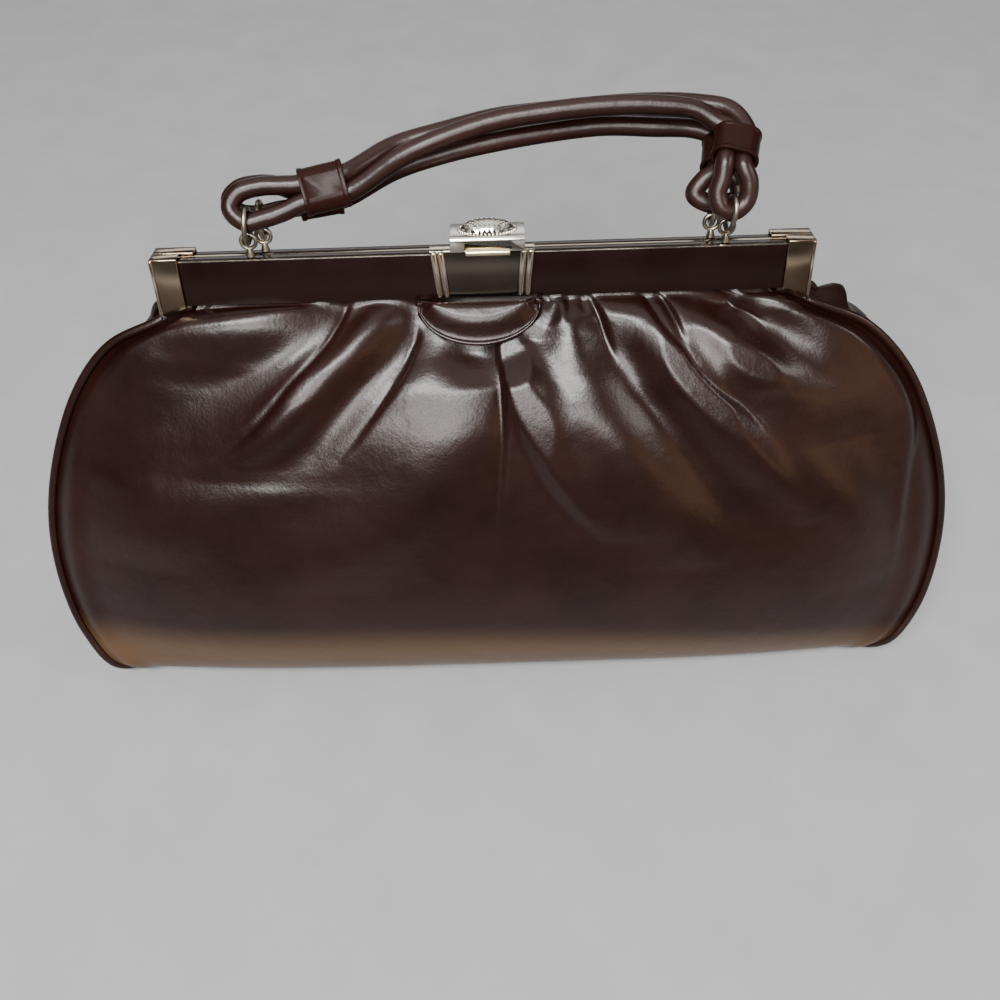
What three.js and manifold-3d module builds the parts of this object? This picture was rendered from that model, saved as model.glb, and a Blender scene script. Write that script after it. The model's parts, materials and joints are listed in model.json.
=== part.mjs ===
// A gathered leather handbag on a hinged metal frame, with a lift-up clasp and two rolled handles.
// Millimetres, +Z up, front towards -Y, origin on the ground under the middle of the bag.

import * as THREE from 'three';
import { mergeVertices } from 'three/addons/utils/BufferGeometryUtils.js';
import Module from 'manifold-3d';

const wasm = await Module();
wasm.setup();

// Driving dimensions
const GAP = 0.35; // clear space between neighbouring pieces
const LEATHER = 1.3; // thickness of the leather walls
const PIPING_RADIUS = 1.5;
const FRAME_LENGTH = 208.4;
const FRAME_DEPTH = 7.8; // both halves together
const FRAME_HEIGHT = 15.2;
const FRAME_LEAN = THREE.MathUtils.degToRad(12); // the closed frame tips back
const FRAME_PLACE = { y: 0.6, z: 148.8 }; // middle of the frame's lower edge
const BAR_WALL = 0.85; // lips of the bar that grip the leather
const GRIP_DEPTH = 7; // depth of the groove in each bar
const CAP_WALL = 0.8;
const CAP_DROP = { front: 4.4, back: 3.6 }; // how far a corner cap hangs below its bar
const CAP_REACH = { front: 8.7, back: 13 }; // length of a corner cap along its bar
const EAR_WIDTH = 1;
const HINGE_DROP = 3.2; // hinge pin below the bars
const HINGE_RADIUS = 0.85;
const TOP_SHIFT = 1.8; // clasp lever and handle eyes sit a little right of the middle
const EYE_SPREAD = { front: 74.4, back: 70.4 }; // handle eyes either side of TOP_SHIFT
const EYE_HEIGHT = 5.2; // middle of an eye above its bar
const EYE_RADIUS = 2.3;
const EYE_WIRE = 0.65;
const RING_LONG = 11.2; // between the wire's centres, end to end
const RING_WIDE = 8;
const RING_WIRE = 0.8;
const RING_SAG = 0.62; // the ring's foot below the middle of its eye
const STRAND_RADIUS = { free: 3.1, end: 2.5 }; // rolled leather of the handles
const STRAND_SPACING = { free: 6.6, end: 5.6 }; // between the two strands of a handle
const STACK_SLOPE = THREE.MathUtils.degToRad(28); // how far the rear strand lies below the front one
const KEEPER_WALL = 1;
const KEEPER_SHARE = 0.75; // of the straight run that a keeper holds together
const PLATE_WIDTH = { top: 33, bottom: 30 };
const PLATE_WALL = 1;
const PILLAR_RADIUS = 1.15;
const LEVER_WIDTH = 23.3;
const LEVER_DEPTH = 11.8;
const LEVER_HEIGHT = 4.7;
const LEVER_WALL = 1;
const NOTCH_WIDTH = 15.5; // opening in the lever's front wall
const DOME = { length: 18, depth: 9.4, height: 3 };
const CLASP_PIN_RADIUS = 0.6;
const KNUCKLE_RADIUS = 1.4;
const TAB = { width: 39.4, length: 16.5, corner: 3.4, edge: 1.2, swell: 1.4, clearance: 2.2 };

// Half of the girth of the body, from the frame down to the middle of the base. Each row is one
// level: half the bag's width at the side seam, then depth and height of the middle and of the seam.
// At the shoulders the back is narrower than the front by `tuck`.
const GIRTH = [
  { half: 107, middleDepth: 8.5, middleHeight: 142.4, seamDepth: 4.8, seamHeight: 144.6, tuck: 0 },
  { half: 124, middleDepth: 20, middleHeight: 131, seamDepth: 6.6, seamHeight: 137.2, tuck: 8 },
  { half: 140.5, middleDepth: 30, middleHeight: 116.5, seamDepth: 10.4, seamHeight: 120, tuck: 8 },
  { half: 154, middleDepth: 41, middleHeight: 94, seamDepth: 19, seamHeight: 94, tuck: 4 },
  { half: 160.8, middleDepth: 50, middleHeight: 70, seamDepth: 27.5, seamHeight: 70, tuck: 2 },
  { half: 162, middleDepth: 55.5, middleHeight: 46, seamDepth: 36, seamHeight: 46, tuck: 0 },
  { half: 158.6, middleDepth: 56, middleHeight: 25, seamDepth: 43, seamHeight: 27, tuck: 0 },
  { half: 151, middleDepth: 51, middleHeight: 9, seamDepth: 47.5, seamHeight: 12, tuck: 0 },
  { half: 143, middleDepth: 41, middleHeight: 1.4, seamDepth: 42.5, seamHeight: 4, tuck: 0 },
  { half: 140, middleDepth: 30, middleHeight: 0, seamDepth: 32, seamHeight: 1.9, tuck: 0 },
  { half: 139, middleDepth: 0, middleHeight: 0, seamDepth: 0, seamHeight: 1.9, tuck: 0 },
];
const GRIPPED_HALF = 96; // half width of the leather inside the frame's grooves
const BULGE_POWER = 4; // how far the middle's fullness reaches towards the side seams

// Gathers. x at the frame, x at the foot, length down the leather, height (valleys are negative),
// and half width at the frame, which grows by `fan` towards the foot.
const FRONT_GATHERS = [
  { top: -70, foot: -118, run: 58, height: 2.2, wide: 11, fan: 1.2 },
  { top: -50, foot: -98, run: 66, height: -4.2, wide: 5, fan: 1.6 },
  { top: -30, foot: -66, run: 58, height: 2.2, wide: 6, fan: 1.2 },
  { top: -20, foot: -54, run: 60, height: -4.2, wide: 5, fan: 1.4 },
  { top: -8, foot: -24, run: 84, height: 2, wide: 8, fan: 1.6 },
  { top: 5, foot: 4, run: 84, height: -3.6, wide: 4, fan: 0.8 },
  { top: 11, foot: 34, run: 84, height: 1.6, wide: 5, fan: 2 },
  { top: 17, foot: 22, run: 26, height: -2.4, wide: 3.5, fan: 0.5 },
  { top: 27, foot: 46, run: 52, height: 2, wide: 6, fan: 1.2 },
  { top: 38, foot: 60, run: 54, height: -3.6, wide: 4.5, fan: 1.2 },
  { top: 46, foot: 98, run: 82, height: 2.2, wide: 6, fan: 1 },
  { top: 57, foot: 100, run: 70, height: -4.2, wide: 4.5, fan: 1 },
  { top: 67, foot: 110, run: 60, height: 1.8, wide: 7, fan: 1.4 },
  { top: 77, foot: 108, run: 44, height: -3.2, wide: 5, fan: 1.2 },
];
const BACK_GATHERS = [
  { top: -64, foot: -104, run: 62, height: -3.6, wide: 6, fan: 1.4 },
  { top: -36, foot: -58, run: 66, height: -3.8, wide: 6, fan: 1.4 },
  { top: -11, foot: -18, run: 70, height: -3.6, wide: 6, fan: 1.4 },
  { top: 13, foot: 20, run: 70, height: -3.6, wide: 6, fan: 1.4 },
  { top: 38, foot: 62, run: 66, height: -3.8, wide: 6, fan: 1.4 },
  { top: 66, foot: 106, run: 60, height: -3.6, wide: 6, fan: 1.4 },
];

const GUSSET_FULLNESS = 0.5; // small numbers swell steeply next to the piping
// How far each gusset swells out, back and up, from its top row to its bottom row
const GUSSETS = {
  left: [
    { out: 2, back: 0, up: 0 },
    { out: 3, back: 0, up: 0 },
    { out: 4.5, back: 0, up: 0 },
    { out: 6, back: 0, up: 0 },
    { out: 7.5, back: 0, up: 0 },
    { out: 4, back: 0, up: 0 },
  ],
  right: [
    { out: 7, back: 5, up: 3 },
    { out: 3, back: 2, up: 0 },
    { out: 4.5, back: 1, up: 0 },
    { out: 6, back: 2, up: 0 },
    { out: 7.5, back: 5, up: 0 },
    { out: 4, back: 2, up: 0 },
  ],
};

// Middle line of each handle between its keepers: x, rise along the handle's leaning plane, reach
// towards the front, and the angle that the two strands are stacked at (90 is side by side).
const HANDLE_LINES = {
  front: [
    { x: -55, rise: 13.4, front: 3.4, stack: 90, keeper: 'left' },
    { x: -40.4, rise: 16.6, front: 2.4, stack: 90, keeper: 'left' },
    { x: -25.5, rise: 25.6, front: 0, stack: 40 },
    { x: -10.7, rise: 30.4, front: 0, stack: 16 },
    { x: 5.5, rise: 34.4, front: 0, stack: 6 },
    { x: 22, rise: 36.2, front: 0, stack: 0 },
    { x: 39, rise: 37.4, front: 0, stack: 0 },
    { x: 55.6, rise: 37.5, front: 0, stack: 6 },
    { x: 68, rise: 36.2, front: 0, stack: 20 },
    { x: 76, rise: 33, front: 0, stack: 60 },
    { x: 79.9, rise: 28.6, front: 0.8, stack: 90, keeper: 'right' },
    { x: 76.9, rise: 17.8, front: 7.6, stack: 90, keeper: 'right' },
  ],
  back: [
    { x: -58, rise: 11.6, front: 0.2, stack: 90, keeper: 'left' },
    { x: -43.6, rise: 14, front: -0.2, stack: 90, keeper: 'left' },
    { x: -28, rise: 21, front: 1.4, stack: 45 },
    { x: -12, rise: 25, front: 1.4, stack: 18 },
    { x: 5.3, rise: 28.2, front: 1, stack: 6 },
    { x: 22.5, rise: 30.8, front: 0.2, stack: 0 },
    { x: 39.6, rise: 32.4, front: 0, stack: 0 },
    { x: 55, rise: 32, front: 0, stack: 8 },
    { x: 68, rise: 31.8, front: 0, stack: 25 },
    { x: 74.4, rise: 30.8, front: 0, stack: 60 },
    { x: 78, rise: 26.6, front: -0.8, stack: 90, keeper: 'right' },
    { x: 75.6, rise: 14, front: 4.4, stack: 90, keeper: 'right' },
  ],
};
// End loops, from one strand round to the other
const END_LOOPS = {
  front: {
    right: [
      { x: 81.6, rise: 12, front: 6.8 },
      { x: 81.2, rise: 7, front: 5 },
      { x: 77.6, rise: 4, front: 4.4 },
      { x: 73.8, rise: 5, front: 5 },
      { x: 72.2, rise: 9, front: 6 },
      { x: 73.4, rise: 13.4, front: 7.2 },
    ],
    left: [
      { x: -60.4, rise: 8.2, front: 3.2 },
      { x: -66, rise: 6.5, front: 3.2 },
      { x: -72.6, rise: 5.4, front: 3.4 },
      { x: -76.8, rise: 9.6, front: 3.2 },
      { x: -74.4, rise: 13.9, front: 3.4 },
      { x: -67.6, rise: 15.9, front: 3.4 },
      { x: -61, rise: 16, front: 3.4 },
    ],
  },
  back: {
    right: [
      { x: 80.4, rise: 10.6, front: 3 },
      { x: 80.6, rise: 6.8, front: 1.6 },
      { x: 76, rise: 5.6, front: 1.2 },
      { x: 70.6, rise: 5.8, front: 1.4 },
      { x: 66.8, rise: 8.4, front: 2.2 },
      { x: 69.4, rise: 12, front: 3.8 },
    ],
    left: [
      { x: -63.2, rise: 7.6, front: 1.4 },
      { x: -69.8, rise: 6.6, front: 0.8 },
      { x: -76.2, rise: 7.6, front: 1 },
      { x: -78.6, rise: 11.4, front: 1.4 },
      { x: -75.6, rise: 15, front: 1.5 },
      { x: -69.2, rise: 16.2, front: 1.6 },
      { x: -64, rise: 15.7, front: 1.5 },
    ],
  },
};
const HANDLES = {
  front: { side: -1, lean: 42 },
  back: { side: 1, lean: 54 },
};

// Materials
const finish = (color, roughness, metalness) =>
  new THREE.MeshStandardMaterial({ color, roughness, metalness });
const LEATHER_FINISH = finish(0x2c1712, 0.32, 0);
const HANDLE_FINISH = finish(0x33201b, 0.42, 0);
const ENAMEL_FINISH = finish(0x1d0d0a, 0.2, 0);
const CHROME_FINISH = finish(0xd8d4cc, 0.18, 1);
const BRASS_FINISH = finish(0xc9b478, 0.25, 1);
const WIRE_FINISH = finish(0x9a8f7c, 0.35, 1);

// Scene graph: the bag, and the frame that leans back on it
const bag = new THREE.Group();
const frame = new THREE.Group();
frame.position.set(0, FRAME_PLACE.y, FRAME_PLACE.z);
frame.rotation.x = -FRAME_LEAN;
bag.add(frame);

function addPiece(group, name, geometry, material) {
  const mesh = new THREE.Mesh(geometry, material);
  mesh.name = name;
  group.add(mesh);
}

const SIDES = { left: -1, right: 1 };
const HALVES = { front: -1, back: 1 };

// Shape helpers

// Depth and height in the frame's own axes turned into the bag's
function fromFrame(x, y, z) {
  return new THREE.Vector3(x, y, z)
    .applyAxisAngle(new THREE.Vector3(1, 0, 0), -FRAME_LEAN)
    .add(new THREE.Vector3(0, FRAME_PLACE.y, FRAME_PLACE.z));
}

function polygon(points) {
  return new THREE.Shape(points.map(([a, b]) => new THREE.Vector2(a, b)));
}

// A profile drawn in depth and height, extruded from one x to another
function extrudeX(profile, from, to) {
  const geometry = new THREE.ExtrudeGeometry(profile, { depth: to - from, bevelEnabled: false });
  geometry.translate(0, 0, from);
  const depth = new THREE.Vector3(0, 1, 0);
  const height = new THREE.Vector3(0, 0, 1);
  const length = new THREE.Vector3(1, 0, 0);
  return geometry.applyMatrix4(new THREE.Matrix4().makeBasis(depth, height, length));
}

// A profile drawn in x and height, extruded from one depth to another
function extrudeY(profile, from, to) {
  const geometry = new THREE.ExtrudeGeometry(profile, { depth: to - from, bevelEnabled: false });
  geometry.translate(0, 0, -to);
  return geometry.rotateX(Math.PI / 2);
}

function box(low, high) {
  const geometry = new THREE.BoxGeometry(high[0] - low[0], high[1] - low[1], high[2] - low[2]);
  return geometry.translate((low[0] + high[0]) / 2, (low[1] + high[1]) / 2, (low[2] + high[2]) / 2);
}

function rodX(radius, from, to, y, z, sides = 12) {
  const geometry = new THREE.CylinderGeometry(radius, radius, to - from, sides);
  return geometry.rotateZ(Math.PI / 2).translate((from + to) / 2, y, z);
}

function solid(geometry) {
  const bare = geometry.clone();
  bare.deleteAttribute('normal');
  bare.deleteAttribute('uv');
  const merged = mergeVertices(bare, 1e-4);
  return new wasm.Manifold(new wasm.Mesh({
    numProp: 3,
    vertProperties: new Float32Array(merged.attributes.position.array),
    triVerts: new Uint32Array(merged.index.array),
  }));
}

function fromSolid(manifold) {
  const mesh = manifold.getMesh();
  const geometry = new THREE.BufferGeometry();
  geometry.setAttribute('position', new THREE.BufferAttribute(mesh.vertProperties, 3));
  geometry.setIndex(new THREE.BufferAttribute(mesh.triVerts, 1));
  return geometry;
}

function join(...geometries) {
  return fromSolid(geometries.map(solid).reduce((a, b) => a.add(b)));
}

function cut(geometry, ...tools) {
  return fromSolid(tools.map(solid).reduce((a, b) => a.subtract(b), solid(geometry)));
}

// A wall of even or changing thickness on the inner side of a surface. pointAt(u, v) gives the outer
// surface for u and v from 0 to 1, and thicknessAt(u, v) how far the wall goes in.
function wall(pointAt, columns, rows, thicknessAt) {
  const step = 1e-3;
  const positions = [];
  const inner = [];
  for (let j = 0; j <= rows; j += 1) {
    for (let i = 0; i <= columns; i += 1) {
      const u = i / columns;
      const v = j / rows;
      const point = pointAt(u, v);
      const across = pointAt(Math.min(u + step, 1), v).sub(pointAt(Math.max(u - step, 0), v));
      const along = pointAt(u, Math.min(v + step, 1)).sub(pointAt(u, Math.max(v - step, 0)));
      const outward = along.cross(across).normalize();
      positions.push(...point.toArray());
      inner.push(...point.addScaledVector(outward, -thicknessAt(u, v)).toArray());
    }
  }
  const width = columns + 1;
  const offset = width * (rows + 1);
  const index = [];
  const quad = (a, b, c, d) => index.push(a, b, c, a, c, d);
  for (let j = 0; j < rows; j += 1) {
    for (let i = 0; i < columns; i += 1) {
      const a = j * width + i;
      quad(a, a + width, a + width + 1, a + 1);
      quad(offset + a, offset + a + 1, offset + a + width + 1, offset + a + width);
    }
  }
  for (let i = 0; i < columns; i += 1) {
    const a = i;
    const b = rows * width + i;
    quad(a, a + 1, offset + a + 1, offset + a);
    quad(b + 1, b, offset + b, offset + b + 1);
  }
  for (let j = 0; j < rows; j += 1) {
    const a = j * width;
    const b = a + columns;
    quad(a + width, a, offset + a, offset + a + width);
    quad(b, b + width, offset + b + width, offset + b);
  }
  const geometry = new THREE.BufferGeometry();
  geometry.setAttribute('position', new THREE.Float32BufferAttribute([...positions, ...inner], 3));
  geometry.setIndex(index);
  return geometry;
}

const smooth = THREE.MathUtils.smoothstep;
const lerp = THREE.MathUtils.lerp;

// Body of the bag

// Whole girth: gripped in the front bar, down the front, under the base and up into the back bar
function girthRows() {
  const gripY = FRAME_DEPTH / 4 + GAP / 4 + LEATHER / 2;
  const gripped = (side) => [GRIP_DEPTH - 1, 0, -1.5].map((height) => {
    const place = fromFrame(0, side * gripY, height);
    return { half: GRIPPED_HALF, middle: place, seam: place };
  });
  const free = (row, side) => ({
    half: side < 0 ? row.half : row.half - row.tuck,
    middle: new THREE.Vector3(0, side * row.middleDepth, row.middleHeight),
    seam: new THREE.Vector3(0, side * row.seamDepth, row.seamHeight),
  });
  const front = [...gripped(-1), ...GIRTH.map((row) => free(row, -1))];
  const back = [...gripped(1), ...GIRTH.slice(0, -1).map((row) => free(row, 1))];
  return [...front, ...back.reverse()];
}

const ROWS = girthRows();
const LEVELS = ROWS.length - 1;
const GRIP_LEVEL = 1 / LEVELS; // where the leather leaves the front bar
const SEAM_LEVEL = 3 / LEVELS; // where the side seam starts, under the frame
const CORNER_LEVEL = 12 / LEVELS; // where the side seam has turned under the base
const BASE_SEAM = 15.4 / LEVELS; // joint of the front and back leather, low on the back
const MIDDLE = new THREE.CatmullRomCurve3(ROWS.map((row) => row.middle));
const SEAM = new THREE.CatmullRomCurve3(
  ROWS.map((row) => new THREE.Vector3(row.half, row.seam.y, row.seam.z)),
);

// Edge of the leather, which stops at the side of the piping
function leatherEdge(level) {
  const ahead = SEAM.getTangent(level);
  const inward = new THREE.Vector3(-1, 0, 0).addScaledVector(ahead, ahead.x).normalize();
  return SEAM.getPoint(level).addScaledVector(inward, PIPING_RADIUS + 2 * GAP);
}

// The body without its gathers: across runs from -1 at the left seam to 1 at the right one
function plainBody(across, level) {
  const edge = leatherEdge(level);
  const fullness = 1 - Math.abs(across) ** BULGE_POWER;
  const point = edge.clone().lerp(MIDDLE.getPoint(level), fullness);
  point.x = across * edge.x;
  point.z = Math.max(point.z, 0);
  return point;
}

const GIRTH_LENGTH = MIDDLE.getLength();
const GIRTH_LENGTHS = MIDDLE.getLengths(400);

// Distance down the leather from the nearer bar
function dropAt(level) {
  const nearer = Math.min(level, 1 - level) * 400;
  const whole = Math.floor(nearer);
  const grip = GIRTH_LENGTHS[Math.round(GRIP_LEVEL * 400)];
  return lerp(GIRTH_LENGTHS[whole], GIRTH_LENGTHS[whole + 1], nearer - whole) - grip;
}

function gatherHeight(gathers, x, drop) {
  let height = 0;
  for (const gather of gathers) {
    const share = drop / gather.run;
    if (share > 0 && share < 1) {
      const distance = x - lerp(gather.top, gather.foot, share);
      const wide = gather.wide * (1 + gather.fan * share);
      const fade = smooth(drop, 0, 9) * (1 - smooth(share, 0.25, 1));
      height += gather.height * fade * Math.exp(-((distance / wide) ** 2));
    }
  }
  return height;
}

function outwardOf(across, level) {
  const step = 1e-3;
  const along = plainBody(across, level + step).sub(plainBody(across, level - step));
  const side = plainBody(across + step, level).sub(plainBody(across - step, level));
  return along.cross(side).normalize();
}

function bodyPoint(across, level, gathers) {
  const point = plainBody(across, level);
  const height = (1 - across ** 6) * gatherHeight(gathers, point.x, dropAt(level));
  return height === 0 ? point : point.addScaledVector(outwardOf(across, level), height);
}

function addBody() {
  const seamShare = GAP / GIRTH_LENGTH;
  const panel = (gathers, from, to, columns, rows) => wall(
    (u, v) => bodyPoint(2 * u - 1, lerp(from, to, v), gathers),
    columns,
    rows,
    () => LEATHER,
  );
  const front = panel(FRONT_GATHERS, 0, BASE_SEAM - seamShare, 34, 21);
  const back = panel(BACK_GATHERS, BASE_SEAM + seamShare, 1, 24, 14);
  addPiece(bag, 'front_panel', front, LEATHER_FINISH);
  addPiece(bag, 'back_panel', back, LEATHER_FINISH);
}

// Side gussets: they fill the seam's U, a piping's width inside it
function addGussets() {
  const inset = PIPING_RADIUS + 3 * GAP;
  for (const [name, side] of Object.entries(SIDES)) {
    const swell = GUSSETS[name];
    const edge = (level, half) => {
      const point = SEAM.getPoint(half < 0 ? level : 1 - level);
      const ahead = SEAM.getTangent(half < 0 ? level : 1 - level);
      const inward = new THREE.Vector3(0, -ahead.z, ahead.y).normalize();
      return point.addScaledVector(inward, inset);
    };
    const pointAt = (u, v) => {
      const level = lerp(SEAM_LEVEL + 0.5 / LEVELS, CORNER_LEVEL, v);
      const row = v * (swell.length - 1);
      const low = Math.min(Math.floor(row), swell.length - 2);
      const amount = (key) => lerp(swell[low][key], swell[low + 1][key], row - low);
      const arch = Math.sin(Math.PI * u) ** GUSSET_FULLNESS;
      const point = edge(level, -1).lerp(edge(level, 1), side > 0 ? u : 1 - u);
      point.x = side * (point.x + amount('out') * arch);
      point.y += amount('back') * arch;
      point.z += amount('up') * arch;
      return point;
    };
    addPiece(bag, `gusset_${name}`, wall(pointAt, 8, 12, () => LEATHER), LEATHER_FINISH);
  }
}

class SeamRun extends THREE.Curve {
  constructor(side) {
    super();
    this.side = side;
  }

  getPoint(t, target = new THREE.Vector3()) {
    const start = SEAM_LEVEL + 0.45 / LEVELS;
    target.copy(SEAM.getPoint(lerp(start, 1 - start, t)));
    target.x *= this.side;
    return target;
  }
}

function disc(radius, sides) {
  const shape = new THREE.Shape();
  for (let i = 0; i < sides; i += 1) {
    const angle = (i / sides) * 2 * Math.PI;
    const place = [radius * Math.cos(angle), radius * Math.sin(angle)];
    if (i === 0) shape.moveTo(...place);
    else shape.lineTo(...place);
  }
  return shape;
}

function addPiping() {
  for (const [name, side] of Object.entries(SIDES)) {
    const options = { steps: 40, bevelEnabled: false, extrudePath: new SeamRun(side) };
    const piping = new THREE.ExtrudeGeometry(disc(PIPING_RADIUS, 6), options);
    addPiece(bag, `piping_${name}`, piping, LEATHER_FINISH);
  }
}

// Frame: two grooved bars with hinge ears, four corner caps and two hinge pins
const BAR_DEPTH = FRAME_DEPTH / 2 - GAP / 2;
const BAR_FACE = FRAME_DEPTH / 2;
const BAR_END = FRAME_LENGTH / 2 - CAP_WALL - GAP;

function mirrored(points, side) {
  return polygon(points.map(([y, z]) => [side < 0 ? y : -y, z]));
}

function addFrame() {
  const bevel = 0.6;
  const groove = BAR_FACE - BAR_DEPTH + BAR_WALL;
  const bar = [
    [-BAR_FACE, 0],
    [-BAR_FACE + BAR_WALL, 0],
    [-BAR_FACE + BAR_WALL, GRIP_DEPTH],
    [-groove, GRIP_DEPTH],
    [-groove, 0],
    [-GAP / 2, 0],
    [-GAP / 2, FRAME_HEIGHT],
    [-BAR_FACE + bevel, FRAME_HEIGHT],
    [-BAR_FACE, FRAME_HEIGHT - bevel],
  ];
  const ear = [
    [-BAR_FACE, 1],
    [-BAR_FACE, -HINGE_DROP],
    [-2, -2 * HINGE_DROP + 0.4],
    [1.6, -2 * HINGE_DROP + 0.4],
    [2.6, -HINGE_DROP],
    [1.6, -GAP - 0.2],
    [-GAP / 2, -GAP - 0.2],
    [-GAP / 2, 1],
  ];
  for (const [name, side] of Object.entries(HALVES)) {
    const outer = side < 0 ? BAR_END - EAR_WIDTH - GAP : BAR_END;
    const inner = outer - EAR_WIDTH;
    const joined = join(
      extrudeX(mirrored(bar, side), -BAR_END, BAR_END),
      extrudeX(mirrored(ear, side), inner, outer),
      extrudeX(mirrored(ear, side), -outer, -inner),
    );
    const hole = rodX(HINGE_RADIUS + GAP, -BAR_END - 1, BAR_END + 1, 0, -HINGE_DROP);
    addPiece(frame, `frame_${name}`, cut(joined, hole), ENAMEL_FINISH);
  }
  const pinEnd = BAR_END - 2 * EAR_WIDTH - 2 * GAP;
  for (const [name, side] of Object.entries(SIDES)) {
    const ends = [side * pinEnd, side * BAR_END].sort((a, b) => a - b);
    addPiece(frame, `hinge_pin_${name}`, rodX(HINGE_RADIUS, ...ends, 0, -HINGE_DROP), WIRE_FINISH);
  }
}

// A cap covers the front, top and end of a bar, and hangs lowest at the end of the frame
function addCaps() {
  const end = FRAME_LENGTH / 2;
  const roof = FRAME_HEIGHT + GAP;
  const skin = BAR_FACE + GAP;
  for (const [half, way] of Object.entries(HALVES)) {
    for (const [name, side] of Object.entries(SIDES)) {
      const reach = end - CAP_REACH[half];
      const spanX = (from, to) => [side * from, side * to].sort((a, b) => a - b);
      const spanY = (from, to) => [way * from, way * to].sort((a, b) => a - b);
      const block = (xs, ys, low, high) => box([xs[0], ys[0], low], [xs[1], ys[1], high]);
      const face = polygon([
        [side * reach, -GAP],
        [side * end, -CAP_DROP[half]],
        [side * end, roof + CAP_WALL],
        [side * reach, roof + CAP_WALL],
      ]);
      const top = block(spanX(reach, end), spanY(GAP / 2, skin + CAP_WALL), roof, roof + CAP_WALL);
      const endWall = spanX(end - CAP_WALL, end);
      const shut = block(endWall, spanY(GAP / 2, skin + CAP_WALL), -CAP_DROP[half], roof + CAP_WALL);
      const cap = join(extrudeY(face, ...spanY(skin, skin + CAP_WALL)), top, shut);
      addPiece(frame, `cap_${half}_${name}`, cap, CHROME_FINISH);
    }
  }
}

// Clasp: a plate on the front bar, a hinge base on the back bar and the lever that bridges them
const PLATE_FACE = BAR_FACE + GAP + PLATE_WALL;
const PLATE_TOP = FRAME_HEIGHT + GAP + PLATE_WALL;
const LEVER_LOW = PLATE_TOP + GAP;
const LEVER_TOP = LEVER_LOW + LEVER_HEIGHT;
const LEVER_FRONT = -7.6;
const LEVER_BACK = LEVER_FRONT + LEVER_DEPTH;
const PIVOT = { y: LEVER_BACK + KNUCKLE_RADIUS + 0.3, z: LEVER_LOW + KNUCKLE_RADIUS };

function addClaspPlate() {
  const halfTop = PLATE_WIDTH.top / 2;
  const halfBottom = PLATE_WIDTH.bottom / 2;
  const face = polygon([
    [-halfBottom, 0.6],
    [halfBottom, 0.6],
    [halfTop, PLATE_TOP],
    [-halfTop, PLATE_TOP],
  ]);
  const pieces = [
    extrudeY(face, -PLATE_FACE, -PLATE_FACE + PLATE_WALL),
    box([-halfTop, -PLATE_FACE, FRAME_HEIGHT + GAP], [halfTop, -GAP, PLATE_TOP]),
  ];
  const slope = Math.atan((halfTop - halfBottom) / PLATE_TOP);
  for (const side of [-1, 1]) {
    for (const order of [0.5, 1.5]) {
      const pillar = new THREE.CylinderGeometry(PILLAR_RADIUS, PILLAR_RADIUS, PLATE_TOP - 3, 8);
      const place = (halfTop + halfBottom) / 2 - order * 2 * PILLAR_RADIUS;
      pillar.rotateX(Math.PI / 2).rotateY(side * slope);
      pieces.push(pillar.translate(side * place, -PLATE_FACE, PLATE_TOP / 2 + 0.4));
    }
  }
  addPiece(frame, 'clasp_plate', join(...pieces), CHROME_FINISH);
}

// The catch curls forward through the lever's notch
function addClaspCatch() {
  const low = PLATE_TOP + GAP;
  const curl = polygon([
    [-4.6, low],
    [-1.4, low],
    [-1.4, low + 1],
    [-4.6, low + 1.7],
    [-7, low + 1.2],
    [-8.6, low - 0.6],
    [-8.2, low - 1.2],
    [-6.6, low + 0.3],
  ]);
  const half = NOTCH_WIDTH / 2 - 0.8;
  const geometry = extrudeX(curl, TOP_SHIFT - half, TOP_SHIFT + half);
  addPiece(frame, 'clasp_catch', geometry, BRASS_FINISH);
}

function addLever() {
  const left = TOP_SHIFT - LEVER_WIDTH / 2;
  const right = TOP_SHIFT + LEVER_WIDTH / 2;
  const bevel = 1.2;
  const side = polygon([
    [LEVER_FRONT, LEVER_LOW],
    [LEVER_BACK, LEVER_LOW],
    [LEVER_BACK, LEVER_TOP],
    [LEVER_FRONT + bevel, LEVER_TOP],
    [LEVER_FRONT, LEVER_TOP - bevel],
  ]);
  const shell = cut(
    extrudeX(side, left, right),
    box(
      [left + LEVER_WALL, LEVER_FRONT + LEVER_WALL, LEVER_LOW - 1],
      [right - LEVER_WALL, LEVER_BACK - LEVER_WALL, LEVER_TOP - LEVER_WALL - 0.4],
    ),
    box(
      [TOP_SHIFT - NOTCH_WIDTH / 2, LEVER_FRONT - 1, LEVER_LOW - 1],
      [TOP_SHIFT + NOTCH_WIDTH / 2, LEVER_FRONT + 2 * LEVER_WALL, LEVER_TOP - 1.4],
    ),
  );
  const dome = new THREE.SphereGeometry(1, 20, 10);
  dome.rotateX(Math.PI / 2);
  dome.scale(DOME.length / 2, DOME.depth / 2, DOME.height);
  dome.translate(TOP_SHIFT, (LEVER_FRONT + LEVER_BACK) / 2 + 0.6, LEVER_TOP - 0.3);
  const domeCut = box([left, LEVER_FRONT, LEVER_LOW - 4], [right, LEVER_BACK, LEVER_TOP - 0.5]);
  const half = LEVER_WIDTH / 2 - 4;
  const tongue = box(
    [TOP_SHIFT - half, LEVER_BACK - LEVER_WALL, LEVER_LOW],
    [TOP_SHIFT + half, PIVOT.y, LEVER_LOW + KNUCKLE_RADIUS],
  );
  const knuckle = rodX(KNUCKLE_RADIUS, TOP_SHIFT - half, TOP_SHIFT + half, PIVOT.y, PIVOT.z);
  const lever = join(shell, cut(dome, domeCut), tongue, knuckle);
  const bore = rodX(CLASP_PIN_RADIUS + GAP, left, right, PIVOT.y, PIVOT.z);
  addPiece(frame, 'clasp_lever', cut(lever, bore), CHROME_FINISH);
}

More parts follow.
